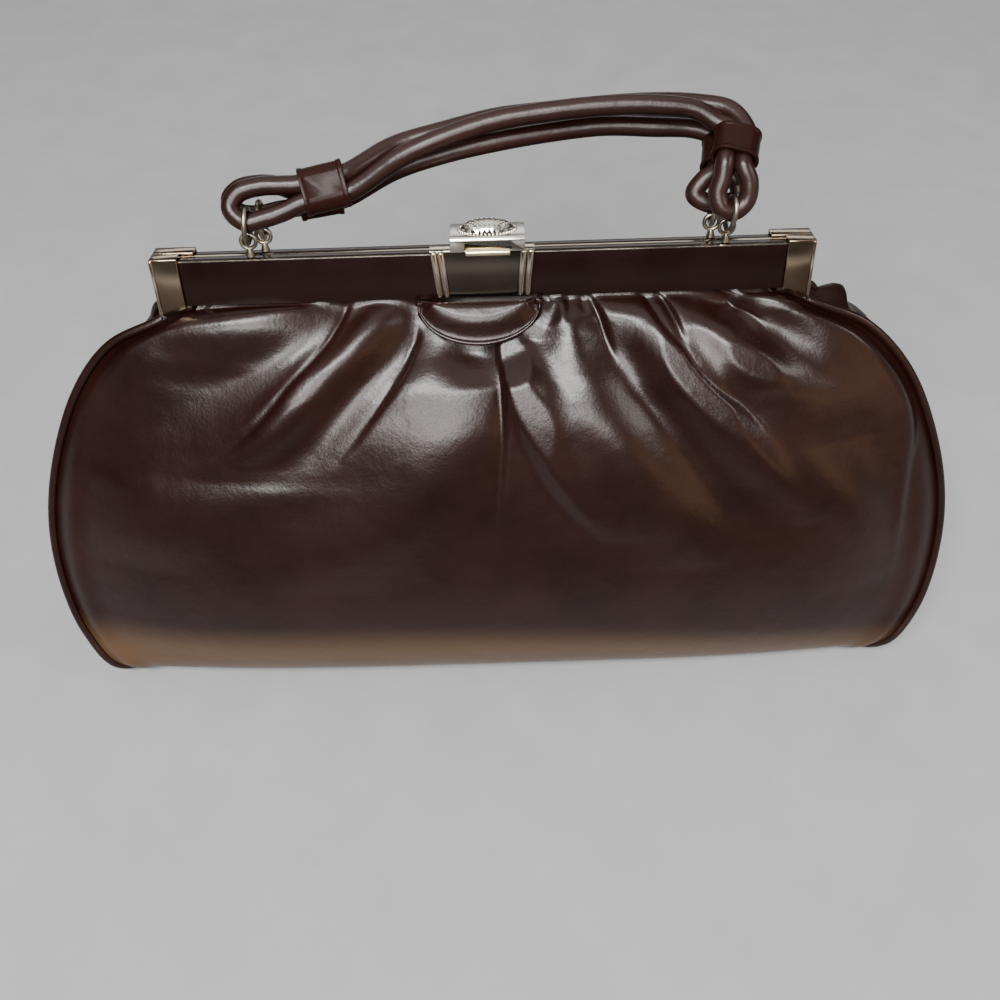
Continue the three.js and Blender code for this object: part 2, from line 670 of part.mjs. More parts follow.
// The hinge base hooks over the back bar and carries an outer knuckle at each end of the lever's
function addClaspHinge() {
  const half = LEVER_WIDTH / 2;
  const inner = half - 4 + GAP;
  const plate = polygon([
    [GAP, FRAME_HEIGHT + GAP],
    [BAR_FACE + GAP, FRAME_HEIGHT + GAP],
    [BAR_FACE + GAP, FRAME_HEIGHT - 8],
    [BAR_FACE + GAP + PLATE_WALL, FRAME_HEIGHT - 8],
    [BAR_FACE + GAP + PLATE_WALL, PLATE_TOP - 0.2],
    [GAP, PLATE_TOP - 0.2],
  ]);
  const pieces = [extrudeX(plate, TOP_SHIFT - half, TOP_SHIFT + half)];
  for (const side of [-1, 1]) {
    const ends = [TOP_SHIFT + side * inner, TOP_SHIFT + side * half].sort((a, b) => a - b);
    pieces.push(rodX(KNUCKLE_RADIUS, ...ends, PIVOT.y, PIVOT.z));
    pieces.push(box(
      [ends[0], PIVOT.y - KNUCKLE_RADIUS, PLATE_TOP - PLATE_WALL],
      [ends[1], PIVOT.y, PIVOT.z],
    ));
  }
  const bore = rodX(CLASP_PIN_RADIUS + GAP, -half + TOP_SHIFT - 1, half + TOP_SHIFT + 1, PIVOT.y, PIVOT.z);
  addPiece(frame, 'clasp_hinge', cut(join(...pieces), bore), CHROME_FINISH);
  const pin = rodX(CLASP_PIN_RADIUS, TOP_SHIFT - half, TOP_SHIFT + half, PIVOT.y, PIVOT.z);
  addPiece(frame, 'clasp_pin', pin, WIRE_FINISH);
}

// Half-moon of padded leather that hangs from under the clasp plate and lies on the gathers
function addTab() {
  const centre = -0.8;
  const levelAt = (drop) => {
    const length = GIRTH_LENGTHS[Math.round(GRIP_LEVEL * 400)] + drop;
    return MIDDLE.getUtoTmapping(0, length);
  };
  const round = (u) => Math.sqrt(Math.max(0, 1 - (2 * u - 1) ** 2));
  const lengthAt = (u) => TAB.corner + (TAB.length - TAB.corner) * round(u);
  const pointAt = (u, v) => {
    const level = levelAt(1.6 + v * lengthAt(u));
    const x = centre - (TAB.width / 2) * Math.cos(Math.PI * u);
    const across = x / leatherEdge(level).x;
    const swell = TAB.swell * Math.sin(Math.PI * u) * Math.sin(Math.PI * Math.min(v, 0.95));
    const lift = TAB.clearance + TAB.edge + swell;
    return plainBody(across, level).addScaledVector(outwardOf(across, level), lift);
  };
  const thicknessAt = (u, v) => {
    const swell = TAB.swell * Math.sin(Math.PI * u) * Math.sin(Math.PI * Math.min(v, 0.95));
    return TAB.edge + swell;
  };
  addPiece(bag, 'clasp_tab', wall(pointAt, 10, 5, thicknessAt), LEATHER_FINISH);
}

// Handles: a loop of rolled leather, doubled through two keepers, on a ring and an eye at each end
const handlePlane = (half) => {
  const { side, lean } = HANDLES[half];
  const angle = THREE.MathUtils.degToRad(lean);
  const barMiddle = side * (BAR_FACE - BAR_DEPTH / 2);
  return {
    foot: fromFrame(0, barMiddle, FRAME_HEIGHT + EYE_HEIGHT),
    up: new THREE.Vector3(0, Math.sin(angle), Math.cos(angle)),
    back: new THREE.Vector3(0, Math.cos(angle), -Math.sin(angle)),
  };
};

const BEHIND = new THREE.Vector3(0, Math.cos(STACK_SLOPE), -Math.sin(STACK_SLOPE));

function handlePoint(half, row) {
  const plane = handlePlane(half);
  const point = new THREE.Vector3(row.x, 0, 0).add(plane.foot);
  return point.addScaledVector(plane.up, row.rise).addScaledVector(plane.back, -row.front);
}

function keeperEnds(half, name) {
  const rows = HANDLE_LINES[half].filter((row) => row.keeper === name);
  return rows.map((row) => handlePoint(half, row));
}

// Unit vectors of a handle at one row of its line: along it, and from its middle to the outer strand
function handleDirections(half, row, tangent) {
  const along = tangent.clone();
  if (row.keeper) {
    const [start, end] = keeperEnds(half, row.keeper);
    along.copy(end.sub(start).normalize());
  }
  const { back } = handlePlane(half);
  const angle = THREE.MathUtils.degToRad(row.stack);
  const outer = along.clone().cross(back).normalize();
  const aside = outer.multiplyScalar(Math.sin(angle)).addScaledVector(BEHIND, Math.cos(angle));
  aside.addScaledVector(along, -aside.dot(along)).normalize();
  return { along, aside };
}

// The two strands lie either side of the middle line, side by side or one behind the other
function handleStrands(half) {
  const rows = HANDLE_LINES[half];
  const middle = rows.map((row) => {
    const behind = (STRAND_SPACING.free / 2) * Math.cos(THREE.MathUtils.degToRad(row.stack));
    return handlePoint(half, row).addScaledVector(BEHIND, behind);
  });
  const line = new THREE.CatmullRomCurve3(middle);
  const outer = [];
  const inner = [];
  const place = (point, aside, spacing) => {
    outer.push(point.clone().addScaledVector(aside, spacing / 2));
    inner.push(point.clone().addScaledVector(aside, -spacing / 2));
  };
  rows.forEach((row, i) => {
    const { aside } = handleDirections(half, row, line.getTangent(i / (rows.length - 1)));
    place(middle[i], aside, row.keeper ? STRAND_SPACING.end : STRAND_SPACING.free);
    const next = rows[i + 1];
    if (row.keeper && next && next.keeper) {
      place(middle[i].clone().lerp(middle[i + 1], 0.5), aside, STRAND_SPACING.end);
    }
  });
  return { outer, inner };
}

function handleCurve(half) {
  const { outer, inner } = handleStrands(half);
  const loop = (name) => END_LOOPS[half][name].map((row) => handlePoint(half, row));
  const points = [...outer, ...loop('right'), ...inner.reverse(), ...loop('left')];
  return new THREE.CatmullRomCurve3(points, true);
}

// A closed rope that is thicker in the middle of the handle than at its ends
function handleGeometry(half) {
  const steps = 62;
  const sides = 7;
  const curve = handleCurve(half);
  const geometry = new THREE.TubeGeometry(curve, steps, 1, sides, true);
  const places = geometry.attributes.position;
  const vertex = new THREE.Vector3();
  for (let i = 0; i < places.count; i += 1) {
    const middle = curve.getPointAt((Math.floor(i / (sides + 1)) % steps) / steps);
    const share = smooth(middle.x, -44, -24) * (1 - smooth(middle.x, 56, 68));
    const radius = lerp(STRAND_RADIUS.end, STRAND_RADIUS.free, share);
    vertex.fromBufferAttribute(places, i).sub(middle).multiplyScalar(radius).add(middle);
    places.setXYZ(i, ...vertex.toArray());
  }
  return geometry;
}

function keeperGeometry(half, name) {
  const [start, end] = keeperEnds(half, name);
  const row = HANDLE_LINES[half].find((each) => each.keeper === name);
  const { along, aside } = handleDirections(half, row, end.clone().sub(start).normalize());
  const across = along.clone().cross(aside);
  const stadium = (radius, Kind) => {
    const path = new Kind();
    path.absarc(STRAND_SPACING.end / 2, 0, radius, -Math.PI / 2, Math.PI / 2, false);
    path.absarc(-STRAND_SPACING.end / 2, 0, radius, Math.PI / 2, 1.5 * Math.PI, false);
    path.closePath();
    return path;
  };
  const inside = STRAND_RADIUS.end + 2 * GAP;
  const sleeve = stadium(inside + KEEPER_WALL, THREE.Shape);
  sleeve.holes.push(stadium(inside, THREE.Path));
  const length = KEEPER_SHARE * start.distanceTo(end);
  const options = { depth: length, bevelEnabled: false, curveSegments: 5 };
  const geometry = new THREE.ExtrudeGeometry(sleeve, options).translate(0, 0, -length / 2);
  geometry.applyMatrix4(new THREE.Matrix4().makeBasis(aside, across, along));
  return geometry.translate(...start.add(end).multiplyScalar(0.5).toArray());
}

function eyeGeometry(x, barMiddle) {
  const eye = new THREE.TorusGeometry(EYE_RADIUS, EYE_WIRE, 5, 12);
  eye.rotateX(Math.PI / 2).translate(x, barMiddle, FRAME_HEIGHT + EYE_HEIGHT);
  const low = FRAME_HEIGHT + GAP;
  const high = FRAME_HEIGHT + EYE_HEIGHT - EYE_RADIUS;
  const post = new THREE.CylinderGeometry(0.8, 1.4, high - low, 6);
  post.rotateX(Math.PI / 2).translate(x, barMiddle, (low + high) / 2);
  return join(eye, post);
}

class Oval extends THREE.Curve {
  constructor(foot, up, aside) {
    super();
    this.foot = foot;
    this.up = up;
    this.aside = aside;
  }

  getPoint(t, target = new THREE.Vector3()) {
    const angle = 2 * Math.PI * t;
    target.copy(this.foot).addScaledVector(this.up, (RING_LONG / 2) * (1 - Math.cos(angle)));
    return target.addScaledVector(this.aside, (RING_WIDE / 2) * Math.sin(angle));
  }
}

// A ring stands in the eye and goes round the handle's loop where that passes nearest to the eye
function ringGeometry(half, eye) {
  const curve = handleCurve(half);
  const samples = 600;
  const distance = (i) => curve.getPointAt(i / samples).distanceTo(eye);
  const nearest = [...Array(samples).keys()].reduce((a, b) => (distance(a) < distance(b) ? a : b));
  const up = curve.getPointAt(nearest / samples).sub(eye).normalize();
  const strand = curve.getTangentAt(nearest / samples);
  const aside = strand.cross(up).normalize();
  const foot = eye.clone().addScaledVector(up, -RING_SAG);
  return new THREE.TubeGeometry(new Oval(foot, up, aside), 16, RING_WIRE, 5, true);
}

function addHandles() {
  for (const [half, { side }] of Object.entries(HANDLES)) {
    addPiece(bag, `handle_${half}`, handleGeometry(half), HANDLE_FINISH);
    const barMiddle = side * (BAR_FACE - BAR_DEPTH / 2);
    for (const [name, end] of Object.entries(SIDES)) {
      const x = TOP_SHIFT + end * EYE_SPREAD[half];
      const eye = fromFrame(x, barMiddle, FRAME_HEIGHT + EYE_HEIGHT);
      addPiece(bag, `keeper_${half}_${name}`, keeperGeometry(half, name), HANDLE_FINISH);
      addPiece(frame, `eye_${half}_${name}`, eyeGeometry(x, barMiddle), WIRE_FINISH);
      addPiece(bag, `ring_${half}_${name}`, ringGeometry(half, eye), WIRE_FINISH);
    }
  }
}

addBody();
addGussets();
addPiping();
addFrame();
addCaps();
addClaspPlate();
addClaspCatch();
addLever();
addClaspHinge();
addTab();
addHandles();

export default bag;
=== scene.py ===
# %% [markdown]
# # A gathered leather handbag with a lift-up clasp
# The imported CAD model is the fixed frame: it says where every piece sits and what moves.
# This notebook gives each of its pieces a finished look, one step at a time.
# All tables are in millimetres, and `MM` turns them into Blender's metres.

# %% Load the frame
import json
import math
import bmesh
import bpy
import numpy as np
from mathutils import Matrix, Vector

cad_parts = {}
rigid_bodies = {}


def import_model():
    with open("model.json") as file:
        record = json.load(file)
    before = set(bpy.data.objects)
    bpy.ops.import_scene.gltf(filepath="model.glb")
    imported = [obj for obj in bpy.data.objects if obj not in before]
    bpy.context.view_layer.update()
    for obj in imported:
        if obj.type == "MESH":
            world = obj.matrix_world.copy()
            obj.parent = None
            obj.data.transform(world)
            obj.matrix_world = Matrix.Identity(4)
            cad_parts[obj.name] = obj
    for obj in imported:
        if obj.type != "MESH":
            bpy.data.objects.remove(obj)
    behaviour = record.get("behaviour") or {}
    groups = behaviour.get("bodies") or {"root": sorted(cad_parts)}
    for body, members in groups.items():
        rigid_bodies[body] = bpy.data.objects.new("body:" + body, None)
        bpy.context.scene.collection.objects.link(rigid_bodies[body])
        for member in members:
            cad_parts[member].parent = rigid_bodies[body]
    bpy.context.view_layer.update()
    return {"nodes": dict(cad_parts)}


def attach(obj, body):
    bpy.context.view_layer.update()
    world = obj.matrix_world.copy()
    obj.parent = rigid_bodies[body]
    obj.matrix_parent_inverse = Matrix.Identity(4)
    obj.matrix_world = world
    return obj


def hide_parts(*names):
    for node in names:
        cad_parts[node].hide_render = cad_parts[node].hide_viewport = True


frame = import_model()
MM = 0.001

# %% [markdown]
# ## Camera
# The bag was seen from above and in front with a short lens, so its front leans towards the viewer.
# Its place and angles are fixed numbers, found from lengths that are known in the picture.
# A matrix whose columns are right, up and backward sets all three angles at once.

# %% Camera
EYE = Vector((4.8, -276.7, 360.2)) * MM
PITCH, ROLL, YAW = (math.radians(a) for a in (48.5, -2.01, -0.4))
turn = Matrix.Rotation(ROLL, 3, "Z") @ Matrix.Rotation(PITCH, 3, "X")
turn = turn @ Matrix(((1, 0, 0), (0, 0, -1), (0, 1, 0))) @ Matrix.Rotation(YAW, 3, "Z")
bpy.ops.object.camera_add()
camera = bpy.context.object
camera.matrix_world = Matrix.Translation(EYE) @ Matrix((turn[0], -turn[1], -turn[2])).transposed().to_4x4()
camera.data.sensor_width = 36
camera.data.lens = 38.016
camera.data.clip_start = 0.01
bpy.context.scene.camera = camera
print("camera looks", [round(x, 3) for x in turn[2]])

# %% [markdown]
# ## Floor and light
# A plain pale floor and a few large area lights stand in for the room.
# The main light hangs high in front and draws the white lines on the upper side of every fold, and a broad
# one below it lets the fuller parts glow.
# A small warm lamp at the right tints the folds that turn towards it, and a low glow behind the bag is
# mirrored in the top of the clasp.
# A dark card lies on the floor just outside the picture, because polished faces look rich only when they have
# something dark to mirror. It is partly painted shadow: it stands for the cast shade and the dark clothes of
# someone standing in front of the bag.

# %% Floor, world and lights
bpy.ops.mesh.primitive_plane_add(size=6)
floor = bpy.context.object
floor.name = "floor"
world = bpy.data.worlds.new("studio")
bpy.context.scene.world = world
world.use_nodes = True
world.node_tree.nodes["Background"].inputs["Color"].default_value = (1, 0.96, 0.93, 1)
world.node_tree.nodes["Background"].inputs["Strength"].default_value = 0.06
# Painted shadow: the dark card stands for the shade and dark clothes of someone in front of the bag.
bpy.ops.mesh.primitive_plane_add(size=1, location=(0, -0.5, 0.001))
card = bpy.context.object
card.name = "dark_card"
card.scale = (1.2, 0.64, 1)
bpy.ops.object.transform_apply()
LIGHTS = [
    # name, place, size in x and y, watts, colour
    ("main", (-0.28, -0.95, 1.55), (1, 0.34), 78, (1, 0.98, 0.96)),
    ("front", (-0.2, -1.5, 0.98), (1.1, 0.42), 44, (1, 0.96, 0.93)),
    ("ceiling", (0, 0.5, 1.5), (2, 1.4), 13, (1, 0.97, 0.94)),
    ("side", (1.25, -0.35, 0.85), (0.5, 0.5), 8, (1, 0.95, 0.9)),
    ("warm_lamp", (1.0, -0.9, 0.3), (0.6, 0.5), 2.2, (1, 0.62, 0.32)),
    ("glow_behind", (0, 1.7, 0.45), (1.6, 0.3), 3.6, (1, 0.98, 0.95)),
]
for name, place, size, watts, colour in LIGHTS:
    bpy.ops.object.light_add(type="AREA", location=place)
    lamp = bpy.context.object
    lamp.name = name
    lamp.rotation_euler = (Vector((0, 0, 0.08)) - Vector(place)).to_track_quat("-Z", "Y").to_euler()
    lamp.data.shape = "RECTANGLE"
    lamp.data.size, lamp.data.size_y = size
    lamp.data.energy = watts
    lamp.data.color = colour
print("lights:", [row[0] for row in LIGHTS])

# %% [markdown]
# ## Materials
# Two small shader groups are shared by all materials.
# One makes the pebbled grain of leather, and the other a slow mottle of wear and fingerprints.
# Groups keep a repeated effect in one place, and each material only sets its own colours and sizes.

# %% Shader groups
def add_node(tree, kind, inputs=None, **settings):
    node = tree.nodes.new(kind)
    for key, value in settings.items():
        setattr(node, key, value)
    for key, value in (inputs or {}).items():
        if isinstance(value, bpy.types.NodeSocket):
            tree.links.new(value, node.inputs[key])
        else:
            node.inputs[key].default_value = value
    return node


def new_group(name, defaults, output):
    group = bpy.data.node_groups.new(name, "ShaderNodeTree")
    group.interface.new_socket("Place", in_out="INPUT", socket_type="NodeSocketVector")
    for key, value in defaults.items():
        socket = group.interface.new_socket(key, in_out="INPUT", socket_type="NodeSocketFloat")
        socket.default_value = value
    group.interface.new_socket(output, in_out="OUTPUT", socket_type="NodeSocketFloat")
    return group, group.nodes.new("NodeGroupInput"), group.nodes.new("NodeGroupOutput")


grain, start, end = new_group("leather_grain", {"Scale": 900}, "Height")
pebbles = add_node(
    grain, "ShaderNodeTexVoronoi", {"Vector": start.outputs["Place"], "Scale": start.outputs["Scale"]},
    feature="SMOOTH_F1",
)
fine = add_node(
    grain, "ShaderNodeTexNoise",
    {"Vector": start.outputs["Place"], "Scale": start.outputs["Scale"], "Detail": 4},
)
both = add_node(
    grain, "ShaderNodeMix", {"Factor": 0.55, "A": pebbles.outputs["Distance"], "B": fine.outputs["Fac"]},
)
grain.links.new(both.outputs["Result"], end.inputs["Height"])

wear, start, end = new_group("wear", {"Scale": 30}, "Mask")
cloud = add_node(
    wear, "ShaderNodeTexNoise",
    {"Vector": start.outputs["Place"], "Scale": start.outputs["Scale"], "Detail": 5, "Roughness": 0.6},
)
spread = add_node(
    wear, "ShaderNodeMapRange", {"Value": cloud.outputs["Fac"], "From Min": 0.32, "From Max": 0.68},
)
wear.links.new(spread.outputs["Result"], end.inputs["Mask"])
print("groups:", [g.name for g in bpy.data.node_groups])

# %% [markdown]
# ### One recipe for all finishes
# The front leather also gets a warm, lighter band along its bottom roll: a painted reflection of the floor,
# and partly rubbed leather.
# Every finish mixes a dark and a light colour and two roughness values by the wear mask.
# Leather adds its grain and a slower crumple as bumps, while metal stays nearly smooth.
# Object coordinates keep the patterns fixed to the bag and at real size.

# %% Materials
def finish(
    name, dark, light, rough, metal=0, grain_size=0, grain_depth=0, shine=0.5, wear_size=30, rub_and_floor_reflection=None,
):
    material = bpy.data.materials.new(name)
    material.use_nodes = True
    tree = material.node_tree
    shader = tree.nodes["Principled BSDF"]
    place = add_node(tree, "ShaderNodeTexCoord").outputs["Object"]
    worn = add_node(tree, "ShaderNodeGroup", node_tree=wear)
    tree.links.new(place, worn.inputs["Place"])
    worn.inputs["Scale"].default_value = wear_size
    mask = worn.outputs["Mask"]
    colour = first = add_node(tree, "ShaderNodeMix", {"Factor": mask}, data_type="RGBA")
    first.inputs["A"].default_value = (*dark, 1)
    first.inputs["B"].default_value = (*light, 1)
    # Painted reflection: a warm, lighter band along the bottom roll of the front stands for the floor
    # mirrored there, and partly for rubbed leather.
    if rub_and_floor_reflection:
        axes = add_node(tree, "ShaderNodeSeparateXYZ", {"Vector": place}).outputs
        lean = add_node(
            tree, "ShaderNodeMath", {0: axes["X"], 1: 0.047, 2: axes["Z"]}, operation="MULTIPLY_ADD",
        )
        square = add_node(tree, "ShaderNodeMath", {0: axes["X"], 1: axes["X"]}, operation="MULTIPLY")
        bent = add_node(
            tree, "ShaderNodeMath", {0: square.outputs[0], 1: 0.5, 2: lean.outputs[0]},
            operation="MULTIPLY_ADD",
        )
        low = add_node(
            tree, "ShaderNodeMapRange", {"Value": bent.outputs[0], "From Min": 0.044, "From Max": 0.024},
            interpolation_type="SMOOTHSTEP",
        )
        colour = add_node(tree, "ShaderNodeMix", {"Factor": low.outputs["Result"]}, data_type="RGBA")
        tree.links.new(first.outputs["Result"], colour.inputs["A"])
        colour.inputs["B"].default_value = (*rub_and_floor_reflection, 1)
    tree.links.new(colour.outputs["Result"], shader.inputs["Base Color"])
    dull = add_node(tree, "ShaderNodeMapRange", {"Value": mask, "To Min": rough[0], "To Max": rough[1]})
    tree.links.new(dull.outputs["Result"], shader.inputs["Roughness"])
    shader.inputs["Metallic"].default_value = metal
    shader.inputs["Specular IOR Level"].default_value = shine
    if grain_depth:
        pebble = add_node(tree, "ShaderNodeGroup", node_tree=grain)
        tree.links.new(place, pebble.inputs["Place"])
        pebble.inputs["Scale"].default_value = grain_size
        crumple = add_node(tree, "ShaderNodeTexNoise", {"Vector": place, "Scale": 75, "Detail": 3})
        slow = add_node(
            tree, "ShaderNodeBump",
            {"Height": crumple.outputs["Fac"], "Distance": 0.0012, "Strength": 0.35},
        )
        quick = add_node(tree, "ShaderNodeBump", {
            "Height": pebble.outputs["Height"], "Distance": grain_depth * MM, "Strength": 0.6,
            "Normal": slow.outputs["Normal"],
        })
        tree.links.new(quick.outputs["Normal"], shader.inputs["Normal"])
    return material


HIDE = dict(
    dark=(0.0046, 0.0008, 0.0004), light=(0.0092, 0.0018, 0.001), rough=(0.3, 0.36), grain_size=1100,
    grain_depth=0.1, shine=0.31,
)
LEATHER = finish("leather_body", **HIDE)
# The front leather gets the painted floor reflection along its bottom roll, partly rubbed leather.
FRONT_LEATHER = finish("leather_front", rub_and_floor_reflection=(0.05, 0.027, 0.0125), **HIDE)
ROLLED = finish(
    "leather_handle", (0.008, 0.0024, 0.0017), (0.014, 0.0044, 0.0032), (0.33, 0.4), grain_size=1300,
    grain_depth=0.1, shine=0.28,
)
SLEEVE = finish(
    "leather_sleeve", (0.009, 0.0027, 0.0019), (0.014, 0.0044, 0.0032), (0.3, 0.36), grain_size=1300,
    grain_depth=0.05, shine=0.07,
)
ENAMEL = finish("frame_enamel", (0.0034, 0.0009, 0.0006), (0.006, 0.0016, 0.0011), (0.2, 0.28), shine=0.22)
CHROME = finish("chrome", (0.42, 0.37, 0.3), (0.54, 0.48, 0.41), (0.12, 0.2), metal=1)
# A darker copy of the chrome for the flat face of the clasp plate: a painted dark reflection of what stands
# in front of the bag.
CHROME_PAINTED_DARK = finish("chrome_painted_dark", (0.085, 0.07, 0.056), (0.13, 0.108, 0.088), (0.14, 0.24), metal=1)
# Cap metal: a warm plating, and darker than the chrome as a painted dark reflection of what stands in front
# of the bag.
CAP_METAL_PAINTED_DARK = finish("cap_plating", (0.22, 0.165, 0.115), (0.34, 0.27, 0.2), (0.12, 0.22), metal=1)
SILVER = finish("silver", (0.66, 0.63, 0.57), (0.76, 0.73, 0.67), (0.2, 0.28), metal=1)
BRASS = finish("brass", (0.72, 0.62, 0.36), (0.82, 0.74, 0.5), (0.16, 0.26), metal=1)
WIRE = finish("nickel_wire", (0.17, 0.14, 0.11), (0.27, 0.235, 0.19), (0.28, 0.4), metal=1, wear_size=200)
CARPET = finish("floor", (0.2, 0.207, 0.213), (0.222, 0.229, 0.235), (0.9, 0.95))
CARD = finish("dark_card", (0.02, 0.014, 0.012), (0.025, 0.018, 0.015), (0.8, 0.9))
floor.data.materials.append(CARPET)
card.data.materials.append(CARD)
print("materials:", [m.name for m in bpy.data.materials])

# %% [markdown]
# ## Tools for modelling
# The next cell holds the moves that every piece repeats: select one object, pick faces by place and
# direction, apply a modifier, and hand the finished piece to its CAD body.
# Picking by a rule instead of by mouse means that the steps work the same way every time.

# %% Modelling helpers
def only(obj):
    if bpy.context.object and bpy.context.object.mode != "OBJECT":
        bpy.ops.object.mode_set(mode="OBJECT")
    bpy.ops.object.select_all(action="DESELECT")
    obj.select_set(True)
    bpy.context.view_layer.objects.active = obj


def edit(obj, element="FACE"):
    only(obj)
    bpy.ops.object.mode_set(mode="EDIT")
    bpy.ops.mesh.select_mode(type=element)
    bpy.ops.mesh.select_all(action="DESELECT")


def pick(obj, test, element="FACE"):
    edit(obj, element)
    mesh = bmesh.from_edit_mesh(obj.data)
    for item in mesh.faces if element == "FACE" else mesh.edges:
        middle = sum((v.co for v in item.verts), Vector()) / len(item.verts) / MM
        aim = item.normal if element == "FACE" else (item.verts[1].co - item.verts[0].co).normalized()
        item.select_set(bool(test(middle, aim)))
    bmesh.update_edit_mesh(obj.data)


def apply(obj, kind, **settings):
    only(obj)
    modifier = obj.modifiers.new(kind.title(), kind)
    for key, value in settings.items():
        setattr(modifier, key, value)
    bpy.ops.object.modifier_apply(modifier=modifier.name)


def block(name, low, high):
    bpy.ops.mesh.primitive_cube_add(size=MM)
    obj = bpy.context.object
    obj.name = name
    edit(obj)
    bpy.ops.mesh.select_all(action="SELECT")
    size = [b - a for a, b in zip(low, high)]
    middle = [(a + b) / 2 * MM for a, b in zip(low, high)]
    bpy.ops.transform.resize(value=size, center_override=(0, 0, 0))
    bpy.ops.transform.translate(value=middle)
    bpy.ops.object.mode_set(mode="OBJECT")
    return obj


def join(name, *pieces):
    only(pieces[0])
    for piece in pieces:
        piece.select_set(True)
    bpy.ops.object.join()
    pieces[0].name = name
    return pieces[0]


def move(obj, matrix):
    only(obj)
    obj.matrix_world = matrix
    bpy.ops.object.transform_apply()
    if matrix.determinant() < 0:
        edit(obj)
        bpy.ops.mesh.select_all(action="SELECT")
        bpy.ops.mesh.flip_normals()
        bpy.ops.object.mode_set(mode="OBJECT")


def done(obj, slot, *nodes, body="bag", angle=35):
    only(obj)
    bpy.ops.object.shade_smooth_by_angle(angle=math.radians(angle))
    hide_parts(*nodes)
    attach(obj, body)
    print(obj.name, "faces:", len(obj.data.polygons))


# %% [markdown]
# ## The shape of the leather body
# The body is lofted: a line down the middle of the front, under the base and up the back, and a second line
# along the side seams.
# Points between the two lines bulge out towards the middle.
# Both lines are smooth curves through a short table of places, so the whole body can be changed by a few
# numbers.

# %% Body lines
FRAME_LEAN = math.radians(12)
FRAME_AXES = Matrix.Translation(Vector((0, 0.6, 148.8)) * MM) @ Matrix.Rotation(-FRAME_LEAN, 4, "X")
GIRTH = [
    # half width at the seam, depth and height of the middle, depth and height of the seam, tuck of the back
    (107, 8.5, 142.4, 4.8, 144.6, 0), (124, 20, 131, 6.6, 137.2, 12), (140.5, 30, 116.5, 10.4, 120, 12),
    (154, 41, 94, 19, 94, 8), (160.8, 50, 70, 27.5, 70, 4), (162, 55.5, 46, 36, 46, 0),
    (158.6, 56, 25, 43, 27, 0), (151, 51, 9, 47.5, 12, 0), (143, 41, 1.4, 42.5, 4, 0),
    (140, 30, 0, 32, 1.9, 0), (139, 0, 0, 0, 1.9, 0),
]


def girth_lines():
    lines = {-1: [], 1: []}
    for side, rows in ((-1, GIRTH), (1, GIRTH[:-1])):
        for height, half in ((6, 92), (0, 93), (-1.5, 98)):
            grip = FRAME_AXES @ (Vector((0, side * 2.6875, height)) * MM) / MM
            lines[side].append(((0, *grip.yz), (half, *grip.yz)))
        for half, depth, height, seam_depth, seam_height, tuck in rows:
            half -= tuck if side > 0 else 0
            lines[side].append(((0, side * depth, height), (half, side * seam_depth, seam_height)))
    return np.array(lines[-1] + lines[1][::-1], float).transpose(1, 0, 2)


MIDDLE, SEAM = girth_lines()
LEVELS = len(MIDDLE) - 1
print("levels of the body:", LEVELS)

# %% [markdown]
# ### A smooth curve through points
# A centripetal Catmull-Rom curve passes through every point without overshooting.
# It is the same curve that the CAD model uses, so the two agree.
# The real bag has slumped a little to the right, and `slump` says by how much at each level.

# %% Smooth curves
def smooth_line(points, share):
    share = np.asarray(share, float)
    at = np.clip(share, 0, 1) * (len(points) - 1)
    i = np.minimum(at.astype(int), len(points) - 2)
    w = (at - i)[..., None]
    ends = np.vstack([2 * points[0] - points[1], points, 2 * points[-1] - points[-2]])
    a, b, c, d = ends[i], ends[i + 1], ends[i + 2], ends[i + 3]
    gap = lambda p, q: np.maximum(((p - q) ** 2).sum(-1), 1e-12)[..., None] ** 0.25
    ab, bc, cd = gap(a, b), gap(b, c), gap(c, d)
    out = ((b - a) / ab - (c - a) / (ab + bc) + (c - b) / bc) * bc
    into = ((c - b) / bc - (d - b) / (bc + cd) + (d - c) / cd) * bc
    return b + w * out + w**2 * (3 * c - 3 * b - 2 * out - into) + w**3 * (2 * b - 2 * c + out + into)


def smoothstep(value, low, high):
    share = np.clip((value - low) / (high - low), 0, 1)
    return share * share * (3 - 2 * share)


def unit(v):
    return v / np.linalg.norm(v, axis=-1, keepdims=True)


def slump(level):
    row = np.minimum(level, 1 - level) * LEVELS
    return 1.5 * smoothstep(row, 3.2, 5.5) * (1 - smoothstep(row, 9, 11.5))


def leather_edge(level, inset=1.4):
    ahead = unit(
        smooth_line(SEAM, np.minimum(level + 1e-3, 1)) - smooth_line(SEAM, np.maximum(level - 1e-3, 0))
    )
    inward = unit(ahead * ahead[..., :1] - np.array([1, 0, 0]))
    return smooth_line(SEAM, level) + inward * inset


def plain_body(across, level):
    edge = leather_edge(level)
    full = (1 - np.abs(across) ** 4)[..., None]
    place = edge + (smooth_line(MIDDLE, level) - edge) * full
    place[..., 0] = across * edge[..., 0] + np.abs(across) * slump(level)
    place[..., 2] = np.maximum(place[..., 2], 0)
    return place


share = np.linspace(0, 1, 2001)
LENGTHS = np.concatenate(
    [[0], np.cumsum(np.linalg.norm(np.diff(smooth_line(MIDDLE, share), axis=0), axis=1))]
)
LENGTHS -= np.interp(1 / LEVELS, share, LENGTHS)
level_at = lambda drop: np.interp(drop, LENGTHS, share)
print("length round the middle:", round(LENGTHS[-1]), "mm")

# %% [markdown]
# ## Gathers of the front
# The leather is pleated into the frame and fans out below it.
# Every fold is a line drawn on the leather, with a height at each of its points.
# A `ridge` is a soft swell or valley with its own width on each side, a `crease` is a sharp cut with one
# side lifted over the other, and a `roll` runs across the bag.
# The places were read from the photograph by following its light and dark lines.

